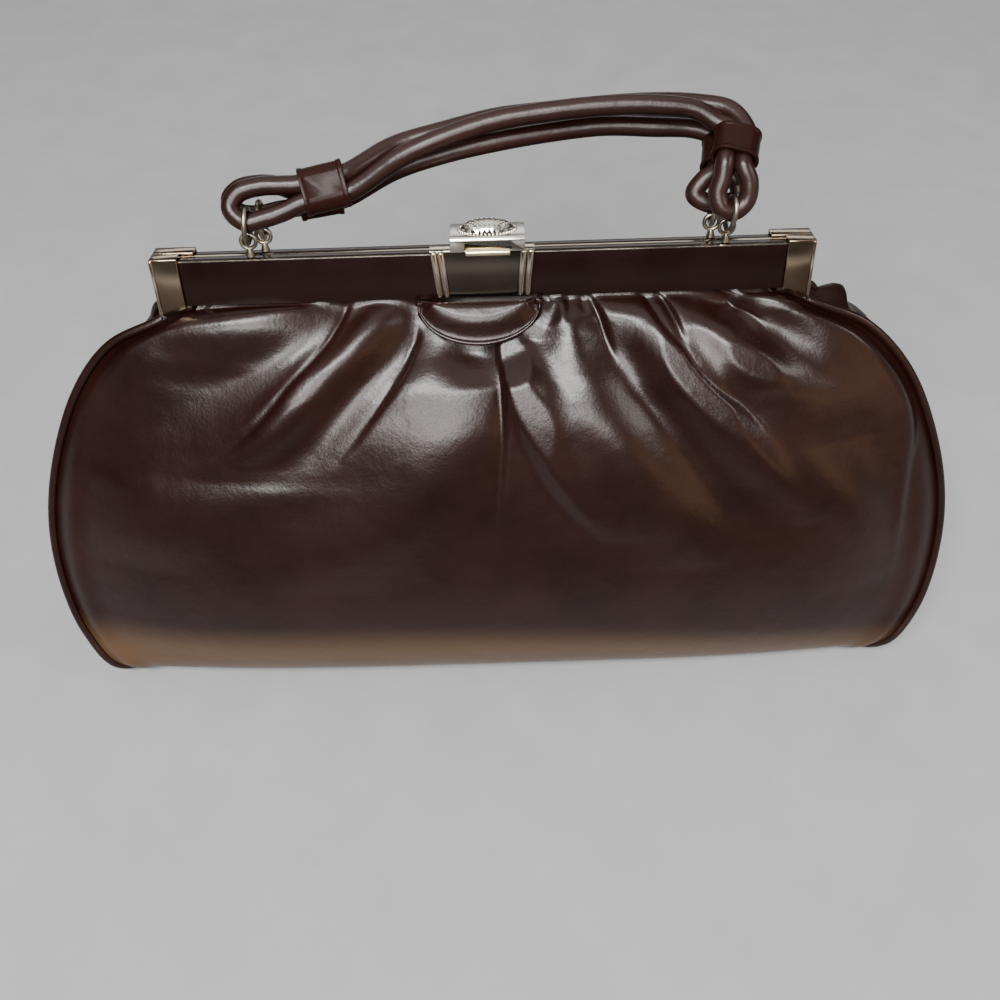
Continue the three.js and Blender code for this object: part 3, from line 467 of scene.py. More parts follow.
# %% Fold table
FRONT_FOLDS = [
    # kind, width left (above) or crease width, width right (below) or lift of the right side,
    # points (x, drop, height)
    ("roll", 6, 12, [
        (-136, 41, 0), (-123, 29, 2), (-113, 20, 4), (-101, 11, 5.5), (-85, 8, 6.5), (-71, 6, 6),
        (-59, 3, 4.2), (-50, 0, 1.5),
    ]),
    ("ridge", 13, 9, [
        (-49, 1, -2), (-54, 14, -4), (-64, 24, -4.4), (-79, 33, -3.8), (-93, 42, -2.6), (-109, 53, -1.2),
        (-125, 67, 0),
    ]),
    (
        "ridge", 10, 3.5,
        [(-44, 0, 0.3), (-48, 7, 1.8), (-55, 17, 3), (-63, 26, 3.4), (-76, 38, 2.4), (-92, 53, 0)],
    ),
    ("crease", 0.9, 1, [
        (-43, 0, 0.9), (-49, 12, 1.5), (-55, 20, 1.5), (-63, 28, 1.4), (-72, 38, 1.1), (-82, 47, 0.7),
        (-93, 55, 0),
    ]),
    ("ridge", 6, 9, [
        (-32, 0, 0.3), (-34, 6, 2.4), (-42, 14, 4.4), (-50, 22, 5.6), (-59, 31, 5.6), (-69, 42, 4),
        (-82, 56, 0),
    ]),
    ("ridge", 8, 8, [
        (-22, 3, -2), (-24, 10, -3.4), (-30, 19, -4.2), (-39, 28, -4.2), (-49, 38, -3.4), (-60, 50, -2),
        (-74, 64, 0),
    ]),
    (
        "crease", 0.9, 1.3,
        [(-22, 13, 0.9), (-26, 22, 1.3), (-31, 30, 1.3), (-37, 38, 1), (-45, 48, 0.5), (-54, 58, 0)],
    ),
    ("ridge", 18, 17, [
        (-7, 21, 0), (-9, 30, 1.2), (-11, 39, 2.6), (-16, 50, 4), (-22, 62, 4.4), (-33, 77, 3.4),
        (-45, 91, 1.8), (-57, 106, 0),
    ]),
    ("ridge", 10, 10, [(-4, 13, -2), (-4, 18, -4), (-3, 22, -3.4), (-3, 30, 0)]),
    (
        "crease", 0.9, 1.6,
        [(4, 18, 1), (5, 26, 1.8), (5, 34, 1.8), (5, 44, 1.6), (4, 58, 1.1), (3, 70, 0.6), (2, 86, 0)],
    ),
    ("ridge", 4, 9, [
        (6, 14, 0.6), (7, 19, 2.2), (9, 27, 3.8), (12, 36, 4.8), (16, 46, 4.8), (22, 59, 4), (31, 73, 2.2),
        (42, 87, 0),
    ]),
    ("ridge", 5, 6, [(15, 15, -2), (16, 20, -2.2), (20, 27, -1.6), (25, 35, 0)]),
    ("ridge", 13, 13, [
        (21, 19, 0.6), (28, 28, 2), (34, 38, 3.2), (41, 48, 4.2), (48, 60, 4.4), (55, 73, 3.2),
        (63, 86, 1.6), (71, 100, 0),
    ]),
    ("crease", 0.9, 0.9, [(21, 0, 1), (21, 4, 0.9), (22, 8, 0)]),
    ("crease", 0.9, -0.8, [(27, 1, 1.1), (27, 5, 0.9), (27, 10, 0)]),
    ("crease", 0.9, 0.9, [(32, 1, 1), (32, 4, 0.9), (33, 8, 0)]),
    ("ridge", 6, 6, [(24, 1, 0.5), (26, 8, 2), (28, 14, 2), (30, 24, 0)]),
    ("crease", 0.9, 1.2, [(34, 1, 1.1), (37, 8, 1.8), (39, 14, 1.3), (42, 23, 0)]),
    ("ridge", 8, 10, [
        (39, 13, -2), (43, 20, -3.4), (49, 30, -4), (58, 44, -3.6), (68, 58, -2.6), (80, 74, -1.4),
        (92, 90, 0),
    ]),
    ("ridge", 11, 5, [
        (43, 1, 0.3), (48, 6, 2.6), (53, 13, 4.6), (58, 20, 5.8), (64, 28, 6.4), (71, 36, 6.2),
        (79, 46, 5.2), (89, 58, 3.8), (99, 71, 2), (109, 86, 0),
    ]),
    ("crease", 0.9, -1.2, [
        (51, 1, 0.9), (57, 13, 1.4), (63, 21, 1.7), (67, 27, 1.8), (74, 34, 1.7), (83, 40, 1.3),
        (95, 54, 0),
    ]),
    ("ridge", 4, 4, [(54, 2, 0.3), (58, 11, 1.4), (64, 18, 1.6), (70, 25, 1.2), (78, 33, 0)]),
    ("crease", 0.9, 1.1, [(57, 2, 1.1), (60, 8, 1.5), (62, 14, 1), (64, 20, 0)]),
    ("ridge", 6, 7, [(60, 2, 0.4), (65, 9, 2.4), (73, 16, 3.4), (82, 26, 2.8), (92, 35, 0)]),
    ("ridge", 6, 8, [(78, 4, -2), (84, 10, -2.6), (94, 20, -2.2), (106, 32, -1.4), (120, 42, 0)]),
    (
        "ridge", 11, 12,
        [(72, 3, 0.3), (80, 14, 1.6), (87, 26, 3.6), (96, 36, 4.6), (105, 45, 3.4), (118, 57, 0)],
    ),
    ("crease", 0.9, 1.1, [(78, 2, 1.1), (81, 6, 1.5), (85, 9, 0.9), (91, 16, 0)]),
    ("roll", 7, 11, [
        (81, 2, 0.5), (87, 4, 4), (98, 10, 5.6), (112, 23, 5.6), (123, 33, 5), (133, 44, 4), (142, 56, 2.6),
        (147, 68, 0),
    ]),
    (
        "ridge", 10, 11,
        [(94, 46, 0.6), (107, 60, 2.6), (118, 74, 3.4), (127, 89, 2.8), (134, 104, 1.4), (139, 119, 0)],
    ),
    ("ridge", 18, 18, [(-87, 61, 0), (-101, 70, 1.6), (-114, 83, 1.8), (-126, 100, 0)]),
]


def fold_height(folds, x, drop):
    total = np.zeros_like(x)
    for kind, first, second, points in folds:
        key, aside = (0, 1) if kind == "roll" else (1, 0)
        line = smooth_line(np.array(points, float), np.linspace(0, 1, 80))
        line = line[np.argsort(line[:, key])]
        along, beside = (x, drop) if kind == "roll" else (drop, x)
        read = lambda values: np.interp(along, line[:, key], values)
        slope = read(np.gradient(line[:, aside], line[:, key]))
        away = (beside - read(line[:, aside])) / np.sqrt(1 + slope**2)
        ends = smoothstep(along, line[0, key] - 5, line[0, key] + 1) * (
            1 - smoothstep(along, line[-1, key] - 1, line[-1, key] + 5)
        )
        size = read(line[:, 2]) * ends
        if kind == "crease":
            cut = -1 / (1 + (away / first) ** 2)
            lift = second / 2 * np.tanh(away / first) * np.exp(-np.abs(away) / (5 * first))
            total += size * (cut + lift)
        else:
            total += size * np.exp(-((away / np.where(away < 0, first, second)) ** 2))
    return total


print("folds on the front:", len(FRONT_FOLDS))

# %% [markdown]
# ## Front panel
# A flat grid becomes the panel: each of its vertices is moved to its place on the body, and then out or in
# by the folds.
# Moving vertices in code suits leather, because the shape follows chosen lines and not a tool's idea of a
# fold.
# A Solidify modifier then gives the leather its thickness towards the inside.

# %% Leather panels
def leather_grid(name, columns, rows, place_at):
    bpy.ops.mesh.primitive_grid_add(x_subdivisions=columns, y_subdivisions=rows, size=2)
    obj = bpy.context.object
    obj.name = name
    flat = np.zeros(len(obj.data.vertices) * 3)
    obj.data.vertices.foreach_get("co", flat)
    across, down = flat.reshape(-1, 3)[:, 0], (1 - flat.reshape(-1, 3)[:, 1]) / 2
    place = place_at(across, down)
    obj.data.vertices.foreach_set("co", (place * MM).ravel())
    obj.data.update()
    return obj


def panel(name, columns, rows, drops, folds, distance):
    def place_at(across, down):
        level = level_at(np.interp(down, np.linspace(0, 1, len(drops)), drops))
        place = plain_body(across, level)
        step = 1e-3
        along = plain_body(
            across, np.minimum(level + step, 1),
        ) - plain_body(across, np.maximum(level - step, 0))
        aside = plain_body(across + step, level) - plain_body(across - step, level)
        outward = unit(np.cross(along, aside))
        drop = distance(np.interp(down, np.linspace(0, 1, len(drops)), drops))
        puff = 3 * np.exp(-(((drop - 32) / np.where(drop < 32, 22, 34)) ** 2)) * (1 - across**4)
        height = (fold_height(folds, place[:, 0], drop) + puff) * smoothstep(drop, -1, 4)
        under_tab = ((place[:, 0] + 0.8) / 24) ** 2 + (drop / 22) ** 2
        height = np.minimum(height, 1.2 + 6 * np.clip(under_tab - 1, 0, 1))
        from_seam = (1 - np.abs(across)) * 150
        seam_roll = 1.1 * np.exp(-(((from_seam - 6) / 4) ** 2)) * smoothstep(drop, 10, 30)
        height = height * smoothstep(from_seam, 0, 8) + seam_roll
        return place + outward * height[:, None]

    obj = leather_grid(name, columns, rows, place_at)
    area = sum(face.area for face in obj.data.polygons)
    apply(obj, "SOLIDIFY", thickness=1.3 * MM, offset=-1, use_even_offset=True)
    obj.data.materials.append(FRONT_LEATHER if folds is FRONT_FOLDS else LEATHER)
    return obj, area


BASE_SEAM = np.interp(15.4 / LEVELS, share, LENGTHS)
TOP = LENGTHS[0]
front, front_area = panel(
    "leather_front", 260, 150, [TOP, 42, 92, 150, BASE_SEAM - 0.2], FRONT_FOLDS, lambda drop: drop,
)
done(front, "leather_body", "front_panel", angle=80)
print("front leather area:", round(front_area, 4), "m2")

# %% [markdown]
# ## Back panel
# The back is gathered more simply, with six pleats that nobody arranged by hand.
# It is the same kind of grid, measured from the back bar downwards.

# %% Back panel
BACK_FOLDS = []
for top, foot in ((-64, -100), (-36, -58), (-11, -18), (13, 20), (38, 62), (66, 102)):
    BACK_FOLDS.append(("ridge", 6, 6, [(top, 1, -2), ((top * 2 + foot) / 3, 20, -3.2), (foot, 62, 0)]))
    BACK_FOLDS.append(
        ("crease", 1.5, 0.8, [(top, 1, 1.4), ((top * 2 + foot) / 3, 18, 1.6), ((top + foot) / 2, 44, 0)])
    )
    BACK_FOLDS.append(
        ("ridge", 8, 8, [(top + 12, 2, 1.5), (top * 0.6 + foot * 0.4 + 13, 26, 2.2), (foot + 14, 66, 0)])
    )
BOTTOM = LENGTHS[-1]
back, back_area = panel(
    "leather_back", 180, 110, [BASE_SEAM + 0.2, BASE_SEAM + 40, BOTTOM - 70, BOTTOM], BACK_FOLDS,
    lambda drop: BOTTOM + TOP - drop,
)
done(back, "leather_body", "back_panel", angle=80)
print("back leather area:", round(back_area, 4), "m2")

# %% [markdown]
# ## Side gussets and piping
# A gusset closes each end of the bag and swells out like a pillow between the two seams.
# The piping is a round cord in leather that covers the seam: a curve with a round bevel, turned into a mesh.

# %% Gussets
GUSSETS = {
    # out, back and up, from the top to the bottom
    "left": [(-7, 0, 0), (-3, 0, 0), (1, 0, 0), (4, 0, 0), (7.5, 0, 0), (4, 0, 0)],
    "right": [(-1, 0, 0), (-2, 0, 0), (1, 0, 0), (4, 0, 0), (7.5, 5, 0), (4, 2, 0)],
}


LOBES = [(3.45, (9, 8, 0)), (4.05, (5, 7, -1))]  # row and push of the two pleats beside the right cap


def gusset(name, side):
    def seam_edge(level):
        ahead = smooth_line(SEAM, level + 1e-3) - smooth_line(SEAM, level - 1e-3)
        inward = unit(np.stack([np.zeros_like(level), -ahead[..., 2], ahead[..., 1]], -1))
        return smooth_line(SEAM, level) + inward * 1.3

    def place_at(across, down):
        row = 2.2 + 9.8 * down
        level = row / LEVELS
        front_edge, back_edge = seam_edge(level), seam_edge(1 - level)
        place = front_edge + (back_edge - front_edge) * ((1 + side * across) / 2)[:, None]
        swell = smooth_line(np.array(GUSSETS[name], float), down)
        arch = np.sin(np.pi * (1 + across) / 2) ** 0.42
        if name == "right":
            for at, push in LOBES:
                swell = swell + np.array(push) * np.exp(-(((row - at) / 0.26) ** 2))[:, None]
        place = place + swell * arch[:, None]
        place[:, 0] = place[:, 0] * side + slump(level)
        return place

    obj = leather_grid(f"leather_gusset_{name}", 60, 140, place_at)
    apply(obj, "SOLIDIFY", thickness=1.3 * MM, offset=-1)
    obj.data.materials.append(LEATHER)
    done(obj, "leather_body", f"gusset_{name}", angle=80)


for name, side in (("left", -1), ("right", 1)):
    gusset(name, side)

# %% Piping
def tube(name, points, radius, cyclic=False, radii=None, caps=True):
    curve = bpy.data.curves.new(name, "CURVE")
    curve.dimensions = "3D"
    line = curve.splines.new("POLY")
    line.points.add(len(points) - 1)
    line.points.foreach_set("co", np.c_[points * MM, np.ones(len(points))].ravel())
    if radii is not None:
        line.points.foreach_set("radius", radii)
    line.use_cyclic_u = cyclic
    curve.bevel_depth = radius * MM
    curve.bevel_resolution = 5
    curve.use_fill_caps = caps
    obj = bpy.data.objects.new(name, curve)
    bpy.context.scene.collection.objects.link(obj)
    only(obj)
    bpy.ops.object.convert(target="MESH")
    return bpy.context.object


run = np.linspace(1.2, LEVELS - 1.2, 300) / LEVELS
for name, side in (("left", -1), ("right", 1)):
    points = smooth_line(SEAM, run) * (side, 1, 1)
    points[:, 0] += slump(run)
    piping = tube(f"leather_piping_{name}", points, 1.5)
    piping.data.materials.append(LEATHER)
    done(piping, "leather_body", f"piping_{name}", angle=60)

# %% [markdown]
# ## Tab under the clasp
# The half-moon tab is padded and edged with a thin rolled rim.
# Its grid is squeezed into a half circle, and its height rises from the rim to a soft swell.

# %% Tab
def tab_place(across, down):
    x = -1.5 + 19.7 * np.sin(across * np.pi / 2)
    length = 3.4 + 13.1 * np.sqrt(np.maximum(0, 1 - np.sin(across * np.pi / 2) ** 2))
    drop = 0.2 + down * length
    level = level_at(drop)
    a = x / leather_edge(level)[:, 0]
    place = plain_body(a, level)
    step = 1e-3
    along = plain_body(a, level + step) - plain_body(a, level - step)
    aside = plain_body(a + step, level) - plain_body(a - step, level)
    from_rim = np.minimum((1 - down) * length, (1 - np.abs(np.sin(across * np.pi / 2))) * 19.7 * 1.6)
    rim = np.sqrt(np.maximum(0, 1 - ((from_rim - 0.7) / 0.7) ** 2)) * 0.55
    pad = smoothstep(from_rim, 1.2, 9) * 3.2 * (1 - 0.55 * smoothstep(-down, -0.35, 0))
    return place + unit(np.cross(along, aside)) * (3 + rim + pad)[:, None]


tab = leather_grid("leather_tab", 90, 50, tab_place)
apply(tab, "SOLIDIFY", thickness=1.1 * MM, offset=-1)
tab.data.materials.append(LEATHER)
done(tab, "leather_body", "clasp_tab", angle=70)

# %% [markdown]
# ## Handles
# Each handle is one closed loop of rolled leather, doubled through a sleeve near each end.
# Its middle line is the same list of places as in the CAD model, in a plane that leans back from the eyes.
# The two strands lie side by side at the sleeves, and one behind the other where the handle has turned over.

# %% Handle lines
TOP_SHIFT = 1.8  # the clasp and the eyes sit a little right of the middle
EYE_SPREAD = {"front": 74.4, "back": 70.4}
EYE_DEPTH, EYE_HEIGHT = 2.037, 20.4  # middle of an eye in the frame's axes
STRAND_GAP = {"free": 6.6, "end": 5.6}  # between the middles of the two strands
HANDLE_LEAN = {"front": (-1, 42), "back": (1, 54)}  # side of the frame, lean of the plane in degrees
STACK_SLOPE = math.radians(28)  # the hind strand lies this much lower than straight back
BEHIND = np.array([0, math.cos(STACK_SLOPE), -math.sin(STACK_SLOPE)])
HANDLE_LINES = {
    # x, rise along the plane, reach to the front, angle that the strands are stacked at, sleeve
    "front": [
        (-55, 13.4, 3.4, 90, "left"), (-40.4, 16.6, 2.4, 90, "left"), (-25.5, 25.6, 0, 40, None),
        (-10.7, 30.4, 0, 16, None), (5.5, 34.4, 0, 6, None), (22, 36.2, 0, 0, None),
        (39, 37.4, 0, 0, None), (55.6, 37.5, 0, 6, None), (68, 36.2, 0, 20, None),
        (76, 33, 0, 60, None), (79.9, 28.6, 0.8, 90, "right"), (76.9, 17.8, 7.6, 90, "right"),
    ],
    "back": [
        (-58, 11.6, 0.2, 90, "left"), (-43.6, 14, -0.2, 90, "left"), (-28, 21, 1.4, 45, None),
        (-12, 25, 1.4, 18, None), (5.3, 28.2, 1, 6, None), (22.5, 30.8, 0.2, 0, None),
        (39.6, 32.4, 0, 0, None), (55, 32, 0, 8, None), (68, 31.8, 0, 25, None),
        (74.4, 30.8, 0, 60, None), (78, 26.6, -0.8, 90, "right"), (75.6, 14, 4.4, 90, "right"),
    ],
}
END_LOOPS = {
    # x, rise and reach, from one strand round to the other
    ("front", "right"): [
        (81.6, 12, 6.8), (81.2, 7, 5), (77.6, 4, 4.4), (73.8, 5, 5), (72.2, 9, 6), (73.4, 13.4, 7.2),
    ],
    ("front", "left"): [
        (-60.4, 8.2, 3.2), (-66, 6.5, 3.2), (-72.6, 5.4, 3.4), (-76.8, 9.6, 3.2), (-74.4, 13.9, 3.4),
        (-67.6, 15.9, 3.4), (-61, 16, 3.4),
    ],
    ("back", "right"): [
        (80.4, 10.6, 3), (80.6, 6.8, 1.6), (76, 5.6, 1.2), (70.6, 5.8, 1.4), (66.8, 8.4, 2.2),
        (69.4, 12, 3.8),
    ],
    ("back", "left"): [
        (-63.2, 7.6, 1.4), (-69.8, 6.6, 0.8), (-76.2, 7.6, 1), (-78.6, 11.4, 1.4), (-75.6, 15, 1.5),
        (-69.2, 16.2, 1.6), (-64, 15.7, 1.5),
    ],
}


def handle_plane(half):
    side, lean = HANDLE_LEAN[half]
    angle = math.radians(lean)
    foot = np.array(FRAME_AXES @ (Vector((0, side * EYE_DEPTH, EYE_HEIGHT)) * MM)) / MM
    up = np.array([0, math.sin(angle), math.cos(angle)])
    return foot, up, np.array([0, math.cos(angle), -math.sin(angle)])


def handle_point(half, row):
    foot, up, back = handle_plane(half)
    return foot + (row[0], 0, 0) + up * row[1] - back * row[2]


def sleeve_ends(half, end):
    return [handle_point(half, row) for row in HANDLE_LINES[half] if row[4] == end]


def strand_axes(half, stack, along):
    outer = unit(np.cross(along, handle_plane(half)[2]))
    angle = math.radians(stack)
    aside = outer * math.sin(angle) + BEHIND * math.cos(angle)
    return unit(aside - along * (aside @ along))


print("places on the handles:", {half: len(rows) for half, rows in HANDLE_LINES.items()})

# %% [markdown]
# ### From the middle line to one rope
# The outer strand runs to the right, turns through the loop there, and comes back as the inner strand.
# A closed smooth curve joins all places, and a round bevel along it makes the rope.

# %% Handle loops
def handle_route(half):
    rows = HANDLE_LINES[half]
    turned = [BEHIND * STRAND_GAP["free"] / 2 * math.cos(math.radians(row[3])) for row in rows]
    middle = np.array([handle_point(half, row) for row in rows]) + turned
    outer, inner = [], []
    for i, (*_, stack, sleeve) in enumerate(rows):
        near = smooth_line(middle, (i + np.array([-1e-3, 1e-3])) / (len(rows) - 1))
        along = unit(near[1] - near[0])
        places = [middle[i]]
        if sleeve:
            start, stop = sleeve_ends(half, sleeve)
            along = unit(stop - start)
            if rows[(i + 1) % len(rows)][4] == sleeve:
                places.append((middle[i] + middle[i + 1]) / 2)
        offset = strand_axes(half, stack, along) * STRAND_GAP["end" if sleeve else "free"] / 2
        outer += [place + offset for place in places]
        inner += [place - offset for place in places]
    right, left = ([handle_point(half, row) for row in END_LOOPS[half, end]] for end in ("right", "left"))
    return np.array(outer + right + inner[::-1] + left)


ROUTES = {}
for half in HANDLE_LINES:
    places = handle_route(half)
    loop = np.vstack([places[-2:], places, places[:3]])
    route = ROUTES[half] = smooth_line(loop, (2 + np.arange(0, len(places), 0.1)) / (len(loop) - 1))
    free = smoothstep(route[:, 0], -44, -24) * (1 - smoothstep(route[:, 0], 56, 68))
    handle = tube(f"strap_{half}", route, 1, cyclic=True, radii=2.95 + 0.15 * free)
    handle.data.materials.append(ROLLED)
    done(handle, "leather_handle", f"handle_{half}", angle=80)
    steps = np.linalg.norm(np.roll(route, -1, axis=0) - route, axis=1)
    print(f"{half} handle loop: {steps.sum():.0f} mm of rolled leather")

# %% [markdown]
# ### Sleeves on the handles
# A sleeve starts as a circle of edges, which is stretched to the outline of two strands side by side.
# Extruding the outline along the handle makes the wall, its two ends are pushed out to a narrow rim, and
# Solidify and Bevel give it thickness.
# It is modelled once, and each of the four places gets its own copy.

# %% Sleeves
bpy.ops.mesh.primitive_circle_add(vertices=48, radius=3.3 * MM)
sleeve = bpy.context.object
edit(sleeve, "VERT")
mesh = bmesh.from_edit_mesh(sleeve.data)
for vert in mesh.verts:
    vert.co.x += 2.8 * MM if vert.co.x > 0 else -2.8 * MM
    vert.co.z = -0.5 * MM
bmesh.update_edit_mesh(sleeve.data)
bpy.ops.mesh.select_all(action="SELECT")
for step in (0.07, 0.03, 0.4, 0.4, 0.03, 0.07):
    bpy.ops.mesh.extrude_region_move(TRANSFORM_OT_translate={"value": (0, 0, step * MM)})
mesh = bmesh.from_edit_mesh(sleeve.data)
for vert in mesh.verts:
    if abs(vert.co.z) > 0.42 * MM:
        vert.co.xy += vert.co.xy.normalized() * 0.3 * MM
bmesh.update_edit_mesh(sleeve.data)
bpy.ops.mesh.select_all(action="SELECT")
bpy.ops.mesh.normals_make_consistent(inside=False)
bpy.ops.object.mode_set(mode="OBJECT")
SLEEVE_SHARE = {"left": 0.92, "right": 0.82}  # of the straight run that it holds together
for half in HANDLE_LINES:
    for end, share_held in SLEEVE_SHARE.items():
        start, stop = sleeve_ends(half, end)
        along = unit(stop - start)
        aside = strand_axes(half, 90, along)
        length = share_held * np.linalg.norm(stop - start)
        copy = bpy.data.objects.new(f"sleeve_{half}_{end}", sleeve.data.copy())
        bpy.context.scene.collection.objects.link(copy)
        turned = Matrix(np.column_stack([aside, np.cross(along, aside), along * length])).to_4x4()
        move(copy, Matrix.Translation(Vector((start + stop) / 2 * MM)) @ turned)
        apply(copy, "SOLIDIFY", thickness=1 * MM, offset=1)
        apply(copy, "BEVEL", width=0.3 * MM, segments=3)
        copy.data.materials.append(SLEEVE)
        done(copy, "leather_handle", f"keeper_{half}_{end}", angle=50)
bpy.data.objects.remove(sleeve)

# %% [markdown]
# ### Rings and eyes
# A ring is an oval of wire, and an eye is a small ring on a turned post that is riveted through the bar.
# Bezier circles with a round bevel make even wire, also where the outline is an oval.

# %% Rings and eyes
def wire_ring(name, width, height, wire):
    bpy.ops.curve.primitive_bezier_circle_add(radius=1)
    ring = bpy.context.object
    ring.name = name
    ring.data.resolution_u = 16
    ring.data.bevel_depth = wire * MM
    ring.data.bevel_resolution = 5
    for point in ring.data.splines[0].bezier_points:
        for part in ("co", "handle_left", "handle_right"):
            x, y, _ = getattr(point, part)
            setattr(point, part, (x * width * MM, y * height * MM, 0))
    only(ring)
    bpy.ops.object.convert(target="MESH")
    return bpy.context.object


RING_LONG, RING_WIDE, RING_SAG = 11.2, 8, 0.62
for half, (side, _) in HANDLE_LEAN.items():
    for end, way in (("left", -1), ("right", 1)):
        x, y = TOP_SHIFT + way * EYE_SPREAD[half], side * EYE_DEPTH
        place = np.array(FRAME_AXES @ (Vector((x, y, EYE_HEIGHT)) * MM)) / MM
        route = ROUTES[half]
        near = np.argmin(np.linalg.norm(route - place, axis=1))
        up = unit(route[near] - place)
        across = unit(np.cross(route[near + 1] - route[near - 1], up))
        ring = wire_ring(f"wire_ring_{half}_{end}", RING_WIDE / 2, RING_LONG / 2, 0.8)
        middle = Vector((place + up * (RING_LONG / 2 - RING_SAG)) * MM)
        turned = Matrix(np.column_stack([across, up, np.cross(across, up)])).to_4x4()
        move(ring, Matrix.Translation(middle) @ turned)
        ring.data.materials.append(WIRE)
        done(ring, "nickel_wire", f"ring_{half}_{end}", angle=80)
        loop = wire_ring("loop", 2.3, 2.3, 0.65)
        move(loop, Matrix.Translation(Vector((x, y, EYE_HEIGHT)) * MM) @ Matrix.Rotation(math.pi / 2, 4, "X"))
        bpy.ops.mesh.primitive_cone_add(vertices=32, radius1=1.5 * MM, radius2=0.8 * MM, depth=2.6 * MM)
        post = bpy.context.object
        move(post, Matrix.Translation(Vector((x, y, 16.85)) * MM))
        pick(post, lambda middle, aim: middle.z < 15.7, "EDGE")
        bpy.ops.mesh.bevel(offset=0.25 * MM, segments=2)
        bpy.ops.object.mode_set(mode="OBJECT")
        eye = join(f"wire_eye_{half}_{end}", loop, post)
        move(eye, FRAME_AXES)
        eye.data.materials.append(WIRE)
        done(eye, "nickel_wire", f"eye_{half}_{end}", angle=60)

# %% [markdown]
# ## Frame bars
# Each half of the frame is a long bar with a groove below that grips the leather.
# A cube is stretched to the bar, its lower face is inset and pushed up for the groove, and the upper edges
# are bevelled.
# The bevels are bare metal and the faces are dark enamel, so the edges draw the two bright lines along the
# top.

# %% Frame bars
def frame_bar(half, side):
    near, far = sorted((side * 0.175, side * 3.9))
    bar = block(f"metal_frame_{half}", (-103.05, near, 0), (103.05, far, 15.2))
    pick(bar, lambda middle, aim: aim.z < -0.9)
    bpy.ops.mesh.inset(thickness=0.85 * MM)
    bpy.ops.mesh.extrude_region_move(TRANSFORM_OT_translate={"value": (0, 0, 7 * MM)})
    pick(bar, lambda middle, aim: middle.z > 15.1 and abs(aim.x) > 0.9, "EDGE")
    bpy.ops.mesh.bevel(offset=0.55 * MM, segments=3)
    bpy.ops.object.mode_set(mode="OBJECT")
    bar.data.materials.append(ENAMEL)
    bar.data.materials.append(CHROME)
    pick(bar, lambda middle, aim: 0.1 < aim.z < 0.97)
    bar.active_material_index = 1
    bpy.ops.object.material_slot_assign()
    bpy.ops.object.mode_set(mode="OBJECT")
    outer = 103.05 if side > 0 else 101.7
    ears = []
    for end in (-1, 1):
        low, high = sorted((end * outer, end * (outer - 1)))
        near, far = sorted((side * 3.9, -side * 2.6))
        ear = block("ear", (low, near, -6), (high, far, -0.55))
        pick(ear, lambda middle, aim: abs(aim.x) > 0.9, "EDGE")
        bpy.ops.mesh.bevel(offset=1.6 * MM, segments=4)
        bpy.ops.object.mode_set(mode="OBJECT")
        post = block(
            "ear_post", (low, min(side * 3.9, side * 0.2), -3), (high, max(side * 3.9, side * 0.2), 1),
        )
        ears += [ear, post]
    bar = join(f"metal_frame_{half}", bar, *ears)
    move(bar, FRAME_AXES)
    done(bar, "frame_enamel", f"frame_{half}", angle=30)


frame_bar("front", -1)
frame_bar("back", 1)

# %% [markdown]
# ## Corner caps
# A cap is folded from one sheet: a face, a top and an end wall that hangs lowest at the outside.
# Three faces of a cube are kept, their lower corners are pulled to the slanted edge, and Solidify adds the
# sheet's thickness.
# The right cap is modelled for each half, and its mirror image is the left one.

# %% Caps
def corner_cap(half, way, reach, drop):
    near, far = sorted((way * 0.175, way * 5.05))
    cap = block(f"metal_cap_{half}_right", (104.2 - reach, near, -drop), (104.2, far, 16.35))
    pick(cap, lambda middle, aim: aim.z < -0.9 or aim.x < -0.9 or aim.y * way < -0.9)
    bpy.ops.mesh.delete(type="FACE")
    bpy.ops.object.mode_set(mode="OBJECT")
    for vert in cap.data.vertices:
        if vert.co.z < 0 and vert.co.x < (104.3 - reach) * MM:
            vert.co.z = -0.35 * MM
    apply(cap, "SOLIDIFY", thickness=0.8 * MM, offset=-1, use_even_offset=True)
    apply(cap, "BEVEL", width=0.28 * MM, segments=3)
    bead_low, bead_high = sorted((way * 4.9, way * 5.45))
    bead = block("bead", (103.2, bead_low, -drop + 0.3), (104.25, bead_high, 16.1))
    apply(bead, "BEVEL", width=0.25 * MM, segments=3)
    # The cap's sheet gets the warm metal that is partly painted dark reflection. The bead stays bright
    # chrome.
    cap.data.materials.append(CAP_METAL_PAINTED_DARK)
    bead.data.materials.append(CHROME)
    return join(f"metal_cap_{half}_right", cap, bead)


for half, way, reach, drop in (("front", -1, 8.7, 4.4), ("back", 1, 13, 3.6)):
    right = corner_cap(half, way, reach, drop)
    left = bpy.data.objects.new(f"metal_cap_{half}_left", right.data.copy())
    bpy.context.scene.collection.objects.link(left)
    move(right, FRAME_AXES)
    move(left, FRAME_AXES @ Matrix.Diagonal((-1, 1, 1, 1)))
    for cap in (left, right):
        done(cap, "chrome", cap.name.replace("metal_", ""), angle=30)

# %% [markdown]
# ## Clasp plate
# The plate is screwed to the front bar: a flat sheet a little narrower below, with two round ribs at each
# side and a lip folded over the top of the bar.
# Cylinders with bevelled ends make the ribs, and all parts are joined to one piece.

